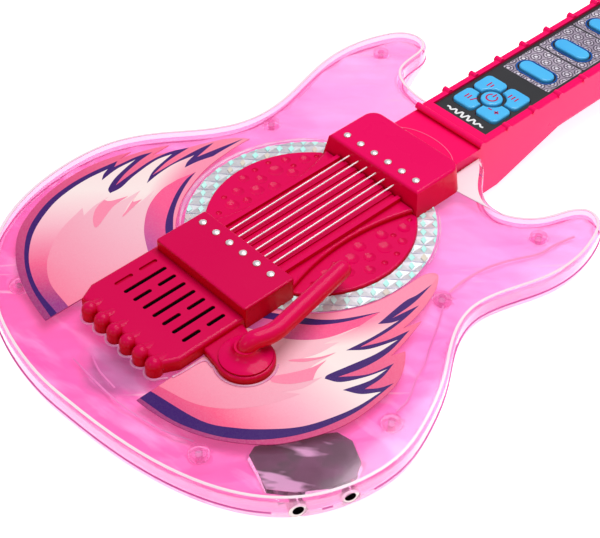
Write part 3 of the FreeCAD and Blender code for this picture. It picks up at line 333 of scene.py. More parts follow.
# Painted light: the neck cover and the neck are lighter copies, and the bridge a darker copy, of the
# one crimson plastic, for how light falls on them.
CRIMSON_PAINTED_LIGHTER = shaded_plastic("crimson_neck_cover_painted_lighter", rgb(240, 0, 96), rgb(236, 0, 62),
                             rgb(208, 0, 34), 0.28)
CRIMSON_PAINTED_DARKER = shaded_plastic("crimson_bridge_painted_darker", rgb(216, 0, 80), rgb(206, 0, 26),
                              rgb(184, 0, 10), 0.3)
NECK_PINK_PAINTED_LIGHTER = shaded_plastic("neck_pink_painted_lighter", rgb(255, 6, 104), rgb(255, 24, 110),
                           rgb(226, 0, 40), 0.32)
LABEL_BLACK = plastic("black_label_film", rgb(48, 48, 52), rgb(38, 38, 42), 0.42)
KEY_BLUE = plastic("blue_key_cap", rgb(84, 200, 255), rgb(58, 176, 250), 0.2, coat=0.5)
KEY_EDGE_SHADE_BLUE = plastic("deep_blue_painted_key_shade", rgb(16, 92, 176), rgb(10, 62, 140), 0.25)
KEY_MARK = plastic("magenta_mark_ink", rgb(196, 16, 98), rgb(176, 8, 82), 0.35)
WHITE_INK = plastic("white_label_ink", rgb(250, 250, 252), rgb(235, 235, 240), 0.4)
WHITE_PLASTIC = plastic("white_moulding", rgb(244, 240, 236), rgb(228, 222, 216), 0.35)
BLACK_PLASTIC = plastic("black_moulding", rgb(34, 34, 37), rgb(24, 24, 26), 0.45)
GREY_PLASTIC = plastic("grey_moulding", rgb(112, 114, 120), rgb(90, 92, 98), 0.45)
RUBBER = plastic("silicone_pad", rgb(214, 210, 214), rgb(196, 192, 198), 0.65)
CONE_PAPER = plastic("paper_cone", rgb(60, 52, 66), rgb(40, 34, 46), 0.8, grain=1500.0,
                     grain_height=0.00008)
BOARD = plastic("green_solder_mask", rgb(38, 96, 62), rgb(22, 70, 44), 0.35, light=rgb(150, 170, 96))
CELL_WRAP = plastic("grey_cell_wrap", rgb(74, 76, 90), rgb(56, 58, 72), 0.3, coat=0.3)
LED_LENS = plastic("milky_led_lens", rgb(240, 240, 250), rgb(214, 216, 236), 0.15, coat=0.5)
FERRITE = plastic("ferrite_magnet", rgb(82, 76, 90), rgb(60, 56, 66), 0.6)
STUD_METAL = metal("polished_stud", rgb(246, 242, 246), 0.3, scratch=1500.0, metallic=0.5)
NICKEL = metal("nickel_plate", rgb(196, 188, 184), 0.16)
ZINC = metal("zinc_screw", rgb(188, 186, 190), 0.3)
PALE_ZINC = metal("pale_zinc_screw", rgb(240, 214, 232), 0.35, metallic=0.2)
STRING_STEEL = metal("drawn_steel_string", rgb(255, 246, 250), 0.35, (8.0, 0.4, 8.0),
                     metallic=0.2)
SPRING = metal("spring_contact", rgb(214, 212, 204), 0.25)
BODY_PINK = clear_pink()
FILM = film_look()

WING_BAND = printed("wing_band_print", [
    (0.0, rgb(160, 42, 118)), (0.16, rgb(205, 62, 125)), (0.45, rgb(232, 80, 134)),
    (0.75, rgb(255, 112, 152)), (1.0, rgb(255, 138, 170))])
NEAR_RING = ((0.0, 0.0, 0.026), 0.052, 0.060, rgb(255, 146, 178))     # warm tone by the ring
WING_INSIDE = printed("wing_inside_print", [
    (0.0, rgb(150, 46, 130)), (0.05, rgb(226, 70, 130)), (0.12, rgb(255, 92, 140)),
    (0.3, rgb(255, 178, 200)), (0.5, rgb(255, 238, 236)), (0.75, rgb(255, 226, 226)),
    (0.9, rgb(255, 160, 186)), (1.0, rgb(255, 142, 174))], warm=NEAR_RING)
LEFT_INSIDE = printed("left_wing_inside_print", [
    (0.0, rgb(158, 48, 134)), (0.05, rgb(186, 58, 128)), (0.1, rgb(224, 72, 134)),
    (0.19, rgb(250, 98, 146)), (0.285, rgb(252, 144, 176)), (0.385, rgb(254, 190, 206)),
    (0.57, rgb(255, 236, 234)), (0.78, rgb(255, 226, 226)), (0.92, rgb(255, 160, 186))],
    low=-0.063, high=0.08, sideways=-1.0, warm=NEAR_RING)
WING_INK = printed("wing_ink_print", [
    (0.0, rgb(62, 20, 108)), (0.5, rgb(66, 30, 112)), (1.0, rgb(76, 38, 118))], grain=0.015)
WING_LIGHT = printed("wing_light_print", [
    (0.0, rgb(255, 104, 148)), (0.18, rgb(252, 152, 180)), (0.4, rgb(250, 184, 202)),
    (0.7, rgb(253, 212, 220)), (1.0, rgb(253, 214, 222))])
WING_CRESCENT = printed("wing_crescent_print", [
    (0.0, rgb(160, 78, 160)), (0.38, rgb(172, 84, 162)), (0.5, rgb(228, 84, 150)),
    (0.58, rgb(255, 88, 148)), (1.0, rgb(255, 84, 142))])
WING_DROP = printed("wing_drop_print", [(0.0, rgb(255, 130, 168)), (1.0, rgb(255, 150, 182))])
RING_FOIL = foil("silver_prism_foil", rgb(206, 190, 200), rgb(228, 216, 222))
RING_LINE = foil("lilac_prism_line", rgb(188, 164, 204), rgb(200, 178, 212))
# painted glints: the kites' cyan-white and rose colours stand for light reflected in the prism foil
RING_PAINTED_GLINT = plastic("cyan_painted_prism_glint", rgb(188, 255, 248), rgb(226, 255, 250), 0.25,
                     light=rgb(255, 255, 250))
RING_PAINTED_ROSE_GLINT = plastic("rose_painted_prism_glint", rgb(232, 222, 206), rgb(214, 190, 206), 0.25)
RIM_CLEAR = clear_lip()
SMOKY_COVER = smoky_cover()
ARC_PAINTED_HIGHLIGHT = plastic("neck_arc_painted_highlight", rgb(255, 120, 170), rgb(255, 90, 150), 0.3)
FOLD_GREY = plastic("grey_film_fold", rgb(232, 150, 202), rgb(250, 190, 226), 0.25, coat=0.5)
FOLD_CREAM = plastic("cream_film_fold", rgb(255, 214, 224), rgb(255, 236, 236), 0.2, coat=0.6)
EDGE_PAINTED_HIGHLIGHT = plastic("cream_shell_edge_painted_highlight", rgb(255, 226, 240), rgb(255, 240, 246), 0.15, coat=0.7)
SEAM_PURPLE = plastic("purple_shell_seam", rgb(214, 96, 172), rgb(236, 130, 200), 0.2, coat=0.5)
SLOT_BLACK = plastic("black_slot_backing", rgb(6, 2, 4), rgb(2, 0, 1), 0.7, specular=0.02)
QUILT_FOIL = plastic("lilac_quilt_foil", rgb(160, 146, 166), rgb(188, 174, 192), 0.3, coat=0.3)
QUILT_LINE = plastic("dark_quilt_line", rgb(84, 74, 92), rgb(104, 92, 110), 0.4)
QUILT_PAINTED_SPARKLE = plastic("white_quilt_painted_sparkle", rgb(214, 204, 220), rgb(240, 234, 244), 0.2, coat=0.4)

NODE_LOOKS = {
    "front_body_shell": BODY_PINK, "back_body_shell": BODY_PINK,
    "left_wing_decal": WING_BAND, "right_wing_decal": WING_BAND,
    "sound_disc": CRIMSON, "string_deck": CRIMSON, "bridge_cover": CRIMSON_PAINTED_DARKER,
    "neck_cover": CRIMSON_PAINTED_LIGHTER, "vibrato_bar": CRIMSON, "battery_door": BODY_PINK,
    "neck_front_shell": NECK_PINK_PAINTED_LIGHTER, "neck_back_shell": NECK_PINK_PAINTED_LIGHTER, "tuner_pegs": NECK_PINK_PAINTED_LIGHTER,
    "control_label": LABEL_BLACK, "nut_bar": WHITE_PLASTIC, "strings": STRING_STEEL,
    "bridge_studs": STUD_METAL, "neck_studs": STUD_METAL, "string_posts": STUD_METAL,
    "jack_bushings": NICKEL, "jack_bodies": GREY_PLASTIC, "jack_board": BOARD,
    "main_board": BOARD, "neck_board": BOARD, "circuit_chips": BLACK_PLASTIC,
    "speaker_basket": BLACK_PLASTIC, "speaker_cone": CONE_PAPER, "speaker_magnet": FERRITE,
    "key_pad": RUBBER, "body_leds": LED_LENS, "aa_cells": CELL_WRAP,
    "battery_contacts": SPRING, "body_screws": PALE_ZINC, "neck_screws": ZINC,
    "vibrato_screw": ZINC, "battery_door_screw": ZINC, "crinkle_film": FILM,
    "prism_ring": RING_FOIL,
}


for node_name, node in NODES.items():       # what isn't listed above is a blue key cap
    node.data.materials.clear()
    node.data.materials.append(NODE_LOOKS.get(node_name, KEY_BLUE))


# ---------------------------------------------------------------- mesh helpers
def publish(name, work, materials, body="guitar"):
    """The finished piece from a bmesh of closed shells."""
    bmesh.ops.recalc_face_normals(work, faces=work.faces)
    mesh = bpy.data.meshes.new(name)
    work.to_mesh(mesh)
    work.free()
    made = bpy.data.objects.new(name, mesh)
    scene.collection.objects.link(made)
    for material in materials:
        mesh.materials.append(material)
    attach(made, body)
    return made


def smooth(run, steps=5):
    """Points of one run joined by a smooth curve through them."""
    if len(run) < 3:
        return list(run)
    first = (2 * run[0][0] - run[1][0], 2 * run[0][1] - run[1][1])
    last = (2 * run[-1][0] - run[-2][0], 2 * run[-1][1] - run[-2][1])
    knots = [first] + list(run) + [last]
    points = []
    for index in range(1, len(knots) - 2):
        a, b, c, d = knots[index - 1:index + 3]
        for step in range(steps):
            t = step / steps
            points.append(tuple(
                0.5 * (2 * b[k] + (c[k] - a[k]) * t
                       + (2 * a[k] - 5 * b[k] + 4 * c[k] - d[k]) * t * t
                       + (3 * b[k] - a[k] - 3 * c[k] + d[k]) * t ** 3) for k in (0, 1)))
    points.append(tuple(run[-1]))
    return points


def outline(runs, steps=5):
    """One closed outline from runs that each start where the run before ended."""
    points = []
    for run in runs:
        for point in smooth(run, steps):
            if not points or math.dist(point, points[-1]) > 0.02:
                points.append(point)
    if math.dist(points[0], points[-1]) <= 0.02:
        points.pop()
    return points


def plate(name, outlines, low, high, material, body="guitar"):
    """A thin closed plate with the given outlines (millimetres), between two heights."""
    curve = bpy.data.curves.new(name, "CURVE")
    curve.dimensions = "2D"
    curve.fill_mode = "BOTH"
    curve.extrude = (high - low) * MM / 2
    for points in outlines:
        spline = curve.splines.new("POLY")
        spline.points.add(len(points) - 1)
        for target, (x, y) in zip(spline.points, points):
            target.co = (x * MM, y * MM, 0.0, 1.0)
        spline.use_cyclic_u = True
    holder = bpy.data.objects.new(name + "_curve", curve)
    scene.collection.objects.link(holder)
    bpy.context.view_layer.update()
    mesh = bpy.data.meshes.new_from_object(holder.evaluated_get(
        bpy.context.evaluated_depsgraph_get()))
    bpy.data.objects.remove(holder)
    bpy.data.curves.remove(curve)
    mesh.transform(Matrix.Translation((0, 0, (low + high) * MM / 2)))
    work = bmesh.new()
    work.from_mesh(mesh)
    bpy.data.meshes.remove(mesh)
    bmesh.ops.remove_doubles(work, verts=work.verts, dist=1e-7)
    bmesh.ops.dissolve_degenerate(work, edges=work.edges, dist=1e-7)
    for face in work.faces:
        face.material_index = 0
    return publish(name, work, [material], body)


def inside(point, loops):
    """Even-odd test of a point against closed loops."""
    x, y = point
    odd = False
    for loop in loops:
        for (x1, y1), (x2, y2) in zip(loop, loop[1:] + loop[:1]):
            if (y1 > y) != (y2 > y) and x < (x2 - x1) * (y - y1) / (y2 - y1) + x1:
                odd = not odd
    return odd


def relief(name, loops, extra, lines, top, bottom, materials, pick=None,
           shade_smooth=False):
    """A closed sheet over the area inside the loops (mm).  Its top follows top(x, y), its
    underside is bottom(x, y); extra points and lines give the top its facets."""
    points = []
    edges = []
    for loop in loops:
        start = len(points)
        points += loop
        edges += [(start + k, start + (k + 1) % len(loop)) for k in range(len(loop))]
    for a, b in lines:
        edges.append((len(points), len(points) + 1))
        points += [a, b]
    points += extra
    verts, _, faces, _, _, _ = geometry.delaunay_2d_cdt(
        [Vector(p) for p in points], edges, [], 0, 1e-4)
    kept = []
    for face in faces:
        centre = sum((verts[k] for k in face), Vector((0, 0))) / len(face)
        if inside(centre, loops):
            kept.append((face, centre))
    work = bmesh.new()
    upper, lower = {}, {}
    for face, _ in kept:
        for k in face:
            if k not in upper:
                x, y = verts[k]
                upper[k] = work.verts.new((x * MM, y * MM, top(x, y) * MM))
                lower[k] = work.verts.new((x * MM, y * MM, bottom(x, y) * MM))
    used = {}
    for face, centre in kept:
        made = work.faces.new([upper[k] for k in face])
        made.smooth = shade_smooth
        if pick:
            made.material_index = pick(centre.x, centre.y)
        work.faces.new([lower[k] for k in reversed(face)])
        for a, b in zip(face, face[1:] + face[:1]):
            used[(a, b)] = True
    for a, b in used:
        if (b, a) not in used:
            work.faces.new([upper[b], upper[a], lower[a], lower[b]])
    return publish(name, work, materials)


def arc(cx, cy, radius, start, end, count=16):
    """Points along a round arc, both ends included."""
    return [(cx + radius * math.cos(math.radians(start + (end - start) * k / count)),
             cy + radius * math.sin(math.radians(start + (end - start) * k / count)))
            for k in range(count + 1)]


def circle(cx, cy, radius, count, turn=0.0):
    """Points of a closed circle."""
    return [(cx + radius * math.cos(turn + 2 * math.pi * k / count),
             cy + radius * math.sin(turn + 2 * math.pi * k / count)) for k in range(count)]


def rounded(x0, x1, y0, y1, radius, count=6):
    """Outline of a rectangle with round corners."""
    return (arc(x1 - radius, y1 - radius, radius, 0, 90, count)
            + arc(x0 + radius, y1 - radius, radius, 90, 180, count)
            + arc(x0 + radius, y0 + radius, radius, 180, 270, count)
            + arc(x1 - radius, y0 + radius, radius, 270, 360, count))


def centre_of(points):
    """The mean of some points, in plan."""
    return sum(x for x, _ in points) / len(points), sum(y for _, y in points) / len(points)


def grown(points, margin):
    """Polygon points pushed out from their middle."""
    cx, cy = centre_of(points)
    result = []
    for x, y in points:
        reach = math.hypot(x - cx, y - cy)
        result.append((x + (x - cx) / reach * margin, y + (y - cy) / reach * margin))
    return result


def shifted(loop, margin):
    """A closed loop of points moved sideways, outwards where margin is positive."""
    result = []
    for index, (x, y) in enumerate(loop):
        before = loop[index - 2]
        after = loop[(index + 2) % len(loop)]
        dx, dy = after[0] - before[0], after[1] - before[1]
        size = math.hypot(dx, dy)
        result.append((x + dy / size * margin, y - dx / size * margin))
    return result


def stroke_loop(points, width):
    """A ribbon of even width round an open line of points."""
    left, right = [], []
    for index, (x, y) in enumerate(points):
        before = points[max(0, index - 1)]
        after = points[min(len(points) - 1, index + 1)]
        dx, dy = after[0] - before[0], after[1] - before[1]
        size = math.hypot(dx, dy)
        left.append((x - dy / size * width / 2, y + dx / size * width / 2))
        right.append((x + dy / size * width / 2, y - dx / size * width / 2))
    return left + right[::-1]


def top_loops(node_name):
    """The outline loops, in mm, of the flat upper side of a thin CAD node."""
    data = NODES[node_name].data
    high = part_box(node_name)[1].z
    work = bmesh.new()
    work.from_mesh(data)
    bmesh.ops.remove_doubles(work, verts=work.verts, dist=1e-6)
    flat = [f for f in work.faces if all(abs(v.co.z - high) < 1e-5 for v in f.verts)]
    chosen = set(f.index for f in flat)
    work.faces.index_update()
    follow = {}
    for face in flat:
        for loop in face.loops:
            if sum(1 for f in loop.edge.link_faces if f.index in chosen) == 1:
                follow[loop.vert.index] = loop.link_loop_next.vert.index
    work.verts.ensure_lookup_table()
    loops = []
    while follow:
        here = next(iter(follow))
        loop = []
        while here in follow:
            loop.append((work.verts[here].co.x / MM, work.verts[here].co.y / MM))
            here = follow.pop(here)
        loops.append(loop)
    work.free()
    return loops


# ---------------------------------------------------------------- camera
CAMERA_PLACE = (0.27341, -0.26070, 0.36627)
CAMERA_TURN = (46.151, -0.242, 47.155)        # degrees: tipped up from straight down, roll, heading
camera_data = bpy.data.cameras.new("camera")
camera_data.lens = 87.63
camera_data.sensor_width = 36.0
camera_data.clip_start = 0.01
camera = bpy.data.objects.new("camera", camera_data)
scene.collection.objects.link(camera)
camera.location = CAMERA_PLACE
camera.rotation_euler = [math.radians(angle) for angle in CAMERA_TURN]
scene.camera = camera


# ---------------------------------------------------------------- inner film
def crumple(x, y):
    """Height of the crinkled film, 0 to 1: long flowing folds that run across the body."""
    along = (x + y) * 0.7071
    across = (x - y) * 0.7071
    bend = 5.0 * noise.noise(Vector((along * 0.04, across * 0.05, 1.0)))
    fold = noise.noise(Vector((along * 0.028, (across + bend) * 0.13, 3.0)))
    small = noise.noise(Vector((along * 0.07, (across + bend) * 0.32, 8.0)))
    return min(1.0, max(0.0, 0.5 + 0.65 * fold + 0.3 * small))


film_low, film_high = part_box("crinkle_film")
FILM_TOP = film_high.z / MM - 0.35
FILM_RELIEF = 2.6       # how deep its folds go
FILM_GAUGE = 0.15
FILM_SPACING = 1.9      # between the points of its mesh
JACK_COVER = [(74.3, -87.6), (81, -82.2), (86.6, -74), (89.2, -65.2), (86.5, -60.4),
              (78.5, -56.4), (73, -57.5), (65, -69), (60.2, -79.6), (61.5, -83)]


film_loops = top_loops("crinkle_film") + [grown(JACK_COVER, 0.5)]
draw = random.Random(7)
film_points = []
row = 0
y = film_low.y / MM
while y < film_high.y / MM:
    x = film_low.x / MM + (FILM_SPACING / 2 if row % 2 else 0)
    while x < film_high.x / MM:
        spot = (x + draw.uniform(-0.4, 0.4), y + draw.uniform(-0.4, 0.4))
        if inside(spot, film_loops):
            film_points.append(spot)
        x += FILM_SPACING
    y += FILM_SPACING * 0.87
    row += 1
film = relief("crinkled_film", film_loops, film_points, [],
              lambda x, y: FILM_TOP - FILM_RELIEF * (1 - crumple(x, y)),
              lambda x, y: FILM_TOP - FILM_RELIEF * (1 - crumple(x, y)) - FILM_GAUGE,
              [FILM], shade_smooth=True)
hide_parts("crinkle_film")
plate("jack_cover_sheet", [JACK_COVER], FILM_TOP - 0.05, FILM_TOP + 0.25, SMOKY_COVER)
FOLDS = [               # line in mm, width, look
    ([(-6, -98.1), (8, -98.9), (20.8, -98.7), (35, -96.3), (46.2, -91.7)], 0.6, FOLD_GREY),
    ([(-4, -92.5), (4, -95.2), (13, -96)], 0.6, FOLD_GREY),
    ([(54.8, 12), (54.3, 19.4), (55.1, 28.2), (56.9, 34.9), (59.5, 41.1), (62.9, 48.4),
      (63.6, 55.4), (65.4, 64)], 0.9, FOLD_CREAM),
    ([(57.8, 5.8), (62.9, -2.3), (68.2, -12), (71.2, -16.8), (73.9, -23.6), (78.2, -31.7),
      (79.4, -38.2)], 0.6, FOLD_GREY),
]
for number, (run, width, material) in enumerate(FOLDS):
    plate("film_fold_%d" % (number + 1), [stroke_loop(smooth(run), width)], FILM_TOP + 0.02,
          FILM_TOP + 0.2, material)

# ---------------------------------------------------------------- prism ring
RING_LOW, RING_HIGH = (value.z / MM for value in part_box("prism_ring"))
RING_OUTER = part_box("prism_ring")[1].x / MM
RING_INNER = 37.2
CELL = 6.1              # the foil's square lattice and where one of its nodes lies
NODE = (37.9, -1.1)
DIAGONAL = math.sqrt(0.5)


def foil_nodes(margin):
    """The lattice nodes on the ring, or within margin of it."""
    spots = []
    for i in range(-14, 15):
        for j in range(-14, 15):
            cx, cy = NODE[0] + i * CELL, NODE[1] + j * CELL
            if RING_INNER - margin < math.hypot(cx, cy) < RING_OUTER + margin:
                spots.append((cx, cy))
    return spots


def prism_height(x, y):
    """Top of the foil: every cell is a low pyramid."""
    u = (x - NODE[0]) / CELL
    v = (y - NODE[1]) / CELL
    edge = max(abs(u - round(u)), abs(v - round(v))) * 2
    return RING_HIGH - 0.05 + 0.22 * (1 - edge)


ring_lines = []
for cx, cy in foil_nodes(5):
    half = CELL / 2
    corners = [(cx - half, cy - half), (cx + half, cy - half), (cx + half, cy + half),
               (cx - half, cy + half)]
    ring_lines += list(zip(corners, corners[1:] + corners[:1]))
    ring_lines += [(corner, (cx, cy)) for corner in corners]
ring = relief("prism_ring_facets",
              [circle(0, 0, RING_OUTER, 120), circle(0, 0, RING_INNER, 120, 0.01)],
              foil_nodes(-0.1), ring_lines, prism_height, lambda x, y: RING_LOW,
              [RING_FOIL])
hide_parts("prism_ring")


def clipped(points, keep):
    """Convex polygon cut back to where keep(point) is not negative."""
    result = []
    for a, b in zip(points, points[1:] + points[:1]):
        here, there = keep(a), keep(b)
        if here >= 0:
            result.append(a)
        if (here >= 0) != (there >= 0):
            t = here / (here - there)
            result.append((a[0] + (b[0] - a[0]) * t, a[1] + (b[1] - a[1]) * t))
    return result


def on_ring(points):
    """Polygon cut back to the ring, with a hair's breadth spare on both sides."""
    cx, cy = centre_of(points)
    reach = math.hypot(cx, cy)
    nx, ny = cx / reach, cy / reach
    points = clipped(points, lambda p: RING_OUTER - 0.1 - math.hypot(*p))
    if len(points) < 3:
        return None
    points = clipped(points, lambda p: p[0] * nx + p[1] * ny - RING_INNER - 0.15)
    return points if len(points) >= 3 else None


def kite(cx, cy, direction, length, wide, widest):
    """Kite from a node along the falling diagonal: direction 1 is down, -1 is up."""
    ax, ay = DIAGONAL * direction, -DIAGONAL * direction
    bx, by = DIAGONAL, DIAGONAL
    return [(cx + ax * 0.15, cy + ay * 0.15),
            (cx + ax * widest + bx * wide, cy + ay * widest + by * wide),
            (cx + ax * length, cy + ay * length),
            (cx + ax * widest - bx * wide, cy + ay * widest - by * wide)]


def facet_sheet(name, shapes, low, high, materials):
    """Many small flat facets, each a closed plate, in one piece."""
    work = bmesh.new()
    for points, index in shapes:
        lower = [work.verts.new((x * MM, y * MM, low * MM)) for x, y in points]
        upper = [work.verts.new((x * MM, y * MM, high * MM)) for x, y in points]
        count = len(points)
        work.faces.new(upper).material_index = index
        work.faces.new(lower[::-1]).material_index = index
        for k in range(count):
            work.faces.new([lower[k], lower[(k + 1) % count], upper[(k + 1) % count],
                            upper[k]]).material_index = index
    return publish(name, work, materials)


def area(points):
    """Area of a polygon, to leave out slivers."""
    return abs(sum(a[0] * b[1] - b[0] * a[1]
                   for a, b in zip(points, points[1:] + points[:1]))) / 2


LINE_HALF = 0.11
draw = random.Random(11)
facets = []
# each node gets two kites painted as bright glints of reflected light
for cx, cy in foil_nodes(5):
    for direction in (-1, 1):
        length = 4.1 + draw.uniform(-0.25, 0.15)
        shape = on_ring(kite(cx, cy, direction, length, draw.uniform(0.95, 1.25),
                             draw.uniform(1.9, 2.4)))
        if shape:
            facets.append((shape, 1 if draw.random() < 0.12 else 0))
    start = (cx - DIAGONAL * CELL * 0.7, cy - DIAGONAL * CELL * 0.7)
    stop = (cx + DIAGONAL * CELL * 0.7, cy + DIAGONAL * CELL * 0.7)
    bow = draw.uniform(-0.25, 0.25)
    middle = (cx + bow * DIAGONAL, cy - bow * DIAGONAL)
    for a, b in ((start, middle), (middle, stop)):
        line = on_ring([(a[0] - LINE_HALF, a[1] + LINE_HALF),
                        (a[0] + LINE_HALF, a[1] - LINE_HALF),
                        (b[0] + LINE_HALF, b[1] - LINE_HALF),
                        (b[0] - LINE_HALF, b[1] + LINE_HALF)])
        if line:
            facets.append((line, 2))
facets = [(points, index) for points, index in facets if area(points) > 0.05]
facet_sheet("prism_ring_painted_glints", [f for f in facets if f[1] < 2], RING_HIGH + 0.2,
            RING_HIGH + 0.26, [RING_PAINTED_GLINT, RING_PAINTED_ROSE_GLINT])
facet_sheet("prism_ring_lines", [(points, 0) for points, index in facets if index == 2],
            RING_HIGH + 0.17, RING_HIGH + 0.19, [RING_LINE])

# ---------------------------------------------------------------- clear rim round the ring
def rim_bead(name, inner, outer, start, end):
    """Low rounded bead of clear plastic that follows the ring over part of its turn."""
    count = 90          # sections along the bead
    steps = 8           # points over its round top
    work = bmesh.new()
    rings = []
    for k in range(count + 1):
        angle = math.radians(start + (end - start) * k / count)
        fade = min(1.0, 6.0 * min(k, count - k) / count + 0.05)
        middle = (inner + outer) / 2
        half = (outer - inner) / 2 * fade
        loop = []
        for step in range(steps + 1):
            turn = math.pi * step / steps
            reach = middle + half * math.cos(turn)
            rise = 0.02 + 0.55 * math.sin(turn) * fade
            loop.append((reach, RING_LOW + rise))
        loop.append((middle - half, RING_LOW + 0.005))
        loop.append((middle + half, RING_LOW + 0.005))
        rings.append([work.verts.new((r * math.cos(angle) * MM, r * math.sin(angle) * MM,
                                      z * MM)) for r, z in loop])
    size = len(rings[0])
    for here, there in zip(rings, rings[1:]):
        for k in range(size):
            made = work.faces.new([here[k], here[(k + 1) % size], there[(k + 1) % size],
                                   there[k]])
            made.smooth = k < steps
    work.faces.new(rings[0][::-1])
    work.faces.new(rings[-1])
    return publish(name, work, [RIM_CLEAR])


rim_bead("ring_rim_left", 44.7, 46.3, 122, 232)
rim_bead("ring_rim_right", 44.5, 45.3, 18, 57)

# ---------------------------------------------------------------- wing print
LEFT_EDGE = -23.4       # the print ends here, beside the tail plate
LIGHT_END = -86.8       # and here its light area meets that edge
LEFT_INK = [
    [(LEFT_EDGE, -93.8), (-37, -91), (-48, -86.5), (-57.5, -80), (-64.5, -72.5), (-70, -62),
     (-72.5, -51), (-72.8, -40.5), (-71.6, -29.3)],
    [(-71.6, -29.3), (-69.7, -32.3)],
    [(-69.7, -32.3), (-68.8, -22.5), (-67, -16.8)],
    [(-67, -16.8), (-66.2, -23.5), (-64, -32), (-61.2, -38.3)],
    [(-61.2, -38.3), (-62.6, -29), (-63.6, -20), (-62.8, -12), (-60, -5.2)],
    [(-60, -5.2), (-59.2, -15.8), (-56.8, -25)],
    [(-56.8, -25), (-57.1, -12), (-56.8, -2.2), (-56, 3.3)],
    [(-56, 3.3), (-53.8, -6.6)],
    [(-53.8, -6.6), (-52.2, 3), (-50.4, 12.8)],
    [(-50.4, 12.8), (-50.4, 3), (-50.2, -1.8)],
    [(-50.2, -1.8), (-51.7, -8), (-52.2, -13.7)],
    [(-52.2, -13.7), (-54, -10.9), (-55.3, -6.6)],
    [(-55.3, -6.6), (-56.4, -15), (-55.9, -22.5), (-54.6, -29.3)],
    [(-54.6, -29.3), (-58.5, -23), (-61.3, -12.1)],
    [(-61.3, -12.1), (-62.5, -19), (-61, -30), (-59, -37.5), (-59.2, -42.2)],
    [(-59.2, -42.2), (-61.5, -41.2), (-64.4, -36.2), (-66.5, -29.5), (-67.8, -24)],
    [(-67.8, -24), (-68.2, -32), (-66.8, -40.1)],
    [(-66.8, -40.1), (-69, -37.6), (-70.3, -34.7)],
    [(-70.3, -34.7), (-70.9, -43), (-70.2, -52), (-67.9, -61), (-62.5, -71.5), (-56, -79),
     (-47.2, -85.3), (-36, -89.6), (LEFT_EDGE, -91.3)],
]
LEFT_INNER = [[(LEFT_EDGE, -40.8), (-30.5, -35.8), (-35.5, -30.5), (-39, -26), (-41.8, -20.9),
               (-45, -13.4), (-47.2, -5.9), (-48.3, 2), (-48.9, 9), (-48.9, 13.9)],
              [(-48.9, 13.9), (-50.4, 12.8)]]
LEFT_LIGHT = [
    [(LEFT_EDGE, LIGHT_END), (-35.4, -85), (-43.9, -80.6), (-50.2, -74.2), (-55.5, -66),
     (-59.5, -54.1)],
    [(-59.5, -54.1), (-55.8, -56.3)],
    [(-55.8, -56.3), (-57.5, -50.5), (-58, -44.1)],
    [(-58, -44.1), (-56, -51), (-53.2, -43), (-53.1, -33.3)],
    [(-53.1, -33.3), (-50.1, -40.8), (-47.2, -45.6)],
    [(-47.2, -45.6), (-48, -38), (-49.8, -29.8)],
    [(-49.8, -29.8), (-47.4, -34.1)],
    [(-47.4, -34.1), (-48.5, -27), (-48.8, -19.9)],
]
LEFT_DROP = [[(-57.6, -46), (-56.2, -50.5), (-52.5, -54.8), (-48.6, -57), (-48.2, -55.6),
              (-50.9, -50), (-52.9, -45), (-53.6, -38.5)], [(-53.6, -38.5), (-55.6, -44.5),
                                                            (-57.6, -46)]]
LEFT_TONGUE = [[(-53, -33.6), (-51, -38), (-48, -43.5), (-46.6, -46.4), (-46.2, -46),
                (-47.2, -42.5), (-48.9, -36)], [(-48.9, -36), (-50.2, -39), (-53, -33.6)]]
LEFT_CRESCENT = [[(-48.8, -19.9), (-48.2, -28), (-44, -37), (-36.1, -45.2), (-28, -50.3),
                  (LEFT_EDGE, -52.5)]]
LEFT_STROKE = [
    [(-47.6, -12.3), (-45.7, -16.9), (-42.9, -22.3), (-39.1, -28.1), (-34.8, -33.1),
     (-29.3, -37.8), (LEFT_EDGE, -42.2)],
    [(LEFT_EDGE, -42.2), (LEFT_EDGE, -45)],
    [(LEFT_EDGE, -45), (-31.1, -39.8), (-35.6, -35.5), (-40, -29.9), (-44, -23.6),
     (-46.8, -17.3), (-47.6, -12.3)],
]
RIGHT_EDGE = 23.6
RIGHT_INK = [
    [(RIGHT_EDGE, -94.2), (37.7, -92.3), (49, -87.7), (57, -82), (63.1, -75.2), (67.9, -67),
     (71, -58), (72.8, -47), (72.2, -32.4)],
    [(72.2, -32.4), (70.6, -37), (67.8, -40.8)],
    [(67.8, -40.8), (68.1, -33.5), (66.4, -26.4)],
    [(66.4, -26.4), (64.2, -35.5), (58.6, -43.4)],
    [(58.6, -43.4), (61.3, -34), (61.9, -24), (59.7, -12.4)],
    [(59.7, -12.4), (57.8, -21.1), (54.2, -29.4)],
    [(54.2, -29.4), (55.3, -18.5), (55, -10), (53.9, -1.9)],
    [(53.9, -1.9), (52.1, -12.6)],
    [(52.1, -12.6), (51.9, -2), (50, 8.4)],
    [(50, 8.4), (50.1, 1), (49.5, -4.5), (50.8, -17.9)],
    [(50.8, -17.9), (53.2, -14.5), (54.3, -11.6)],
    [(54.3, -11.6), (53.8, -22.5), (52.2, -33.6)],
    [(52.2, -33.6), (56.8, -27.6), (60.1, -18.1)],
    [(60.1, -18.1), (59.7, -27.5), (57.5, -37.5), (55.8, -44.9), (56.3, -46.9)],
    [(56.3, -46.9), (60.7, -44.2), (64.4, -37), (66.7, -29.7)],
    [(66.7, -29.7), (66.4, -37), (63.5, -46)],
    [(63.5, -46), (68.5, -43), (72, -37.8)],
    [(72, -37.8), (71.4, -47), (69.3, -56), (65.8, -65), (60.2, -72.7), (52.6, -80.3),
     (43, -86.3), (RIGHT_EDGE, -90)],
]
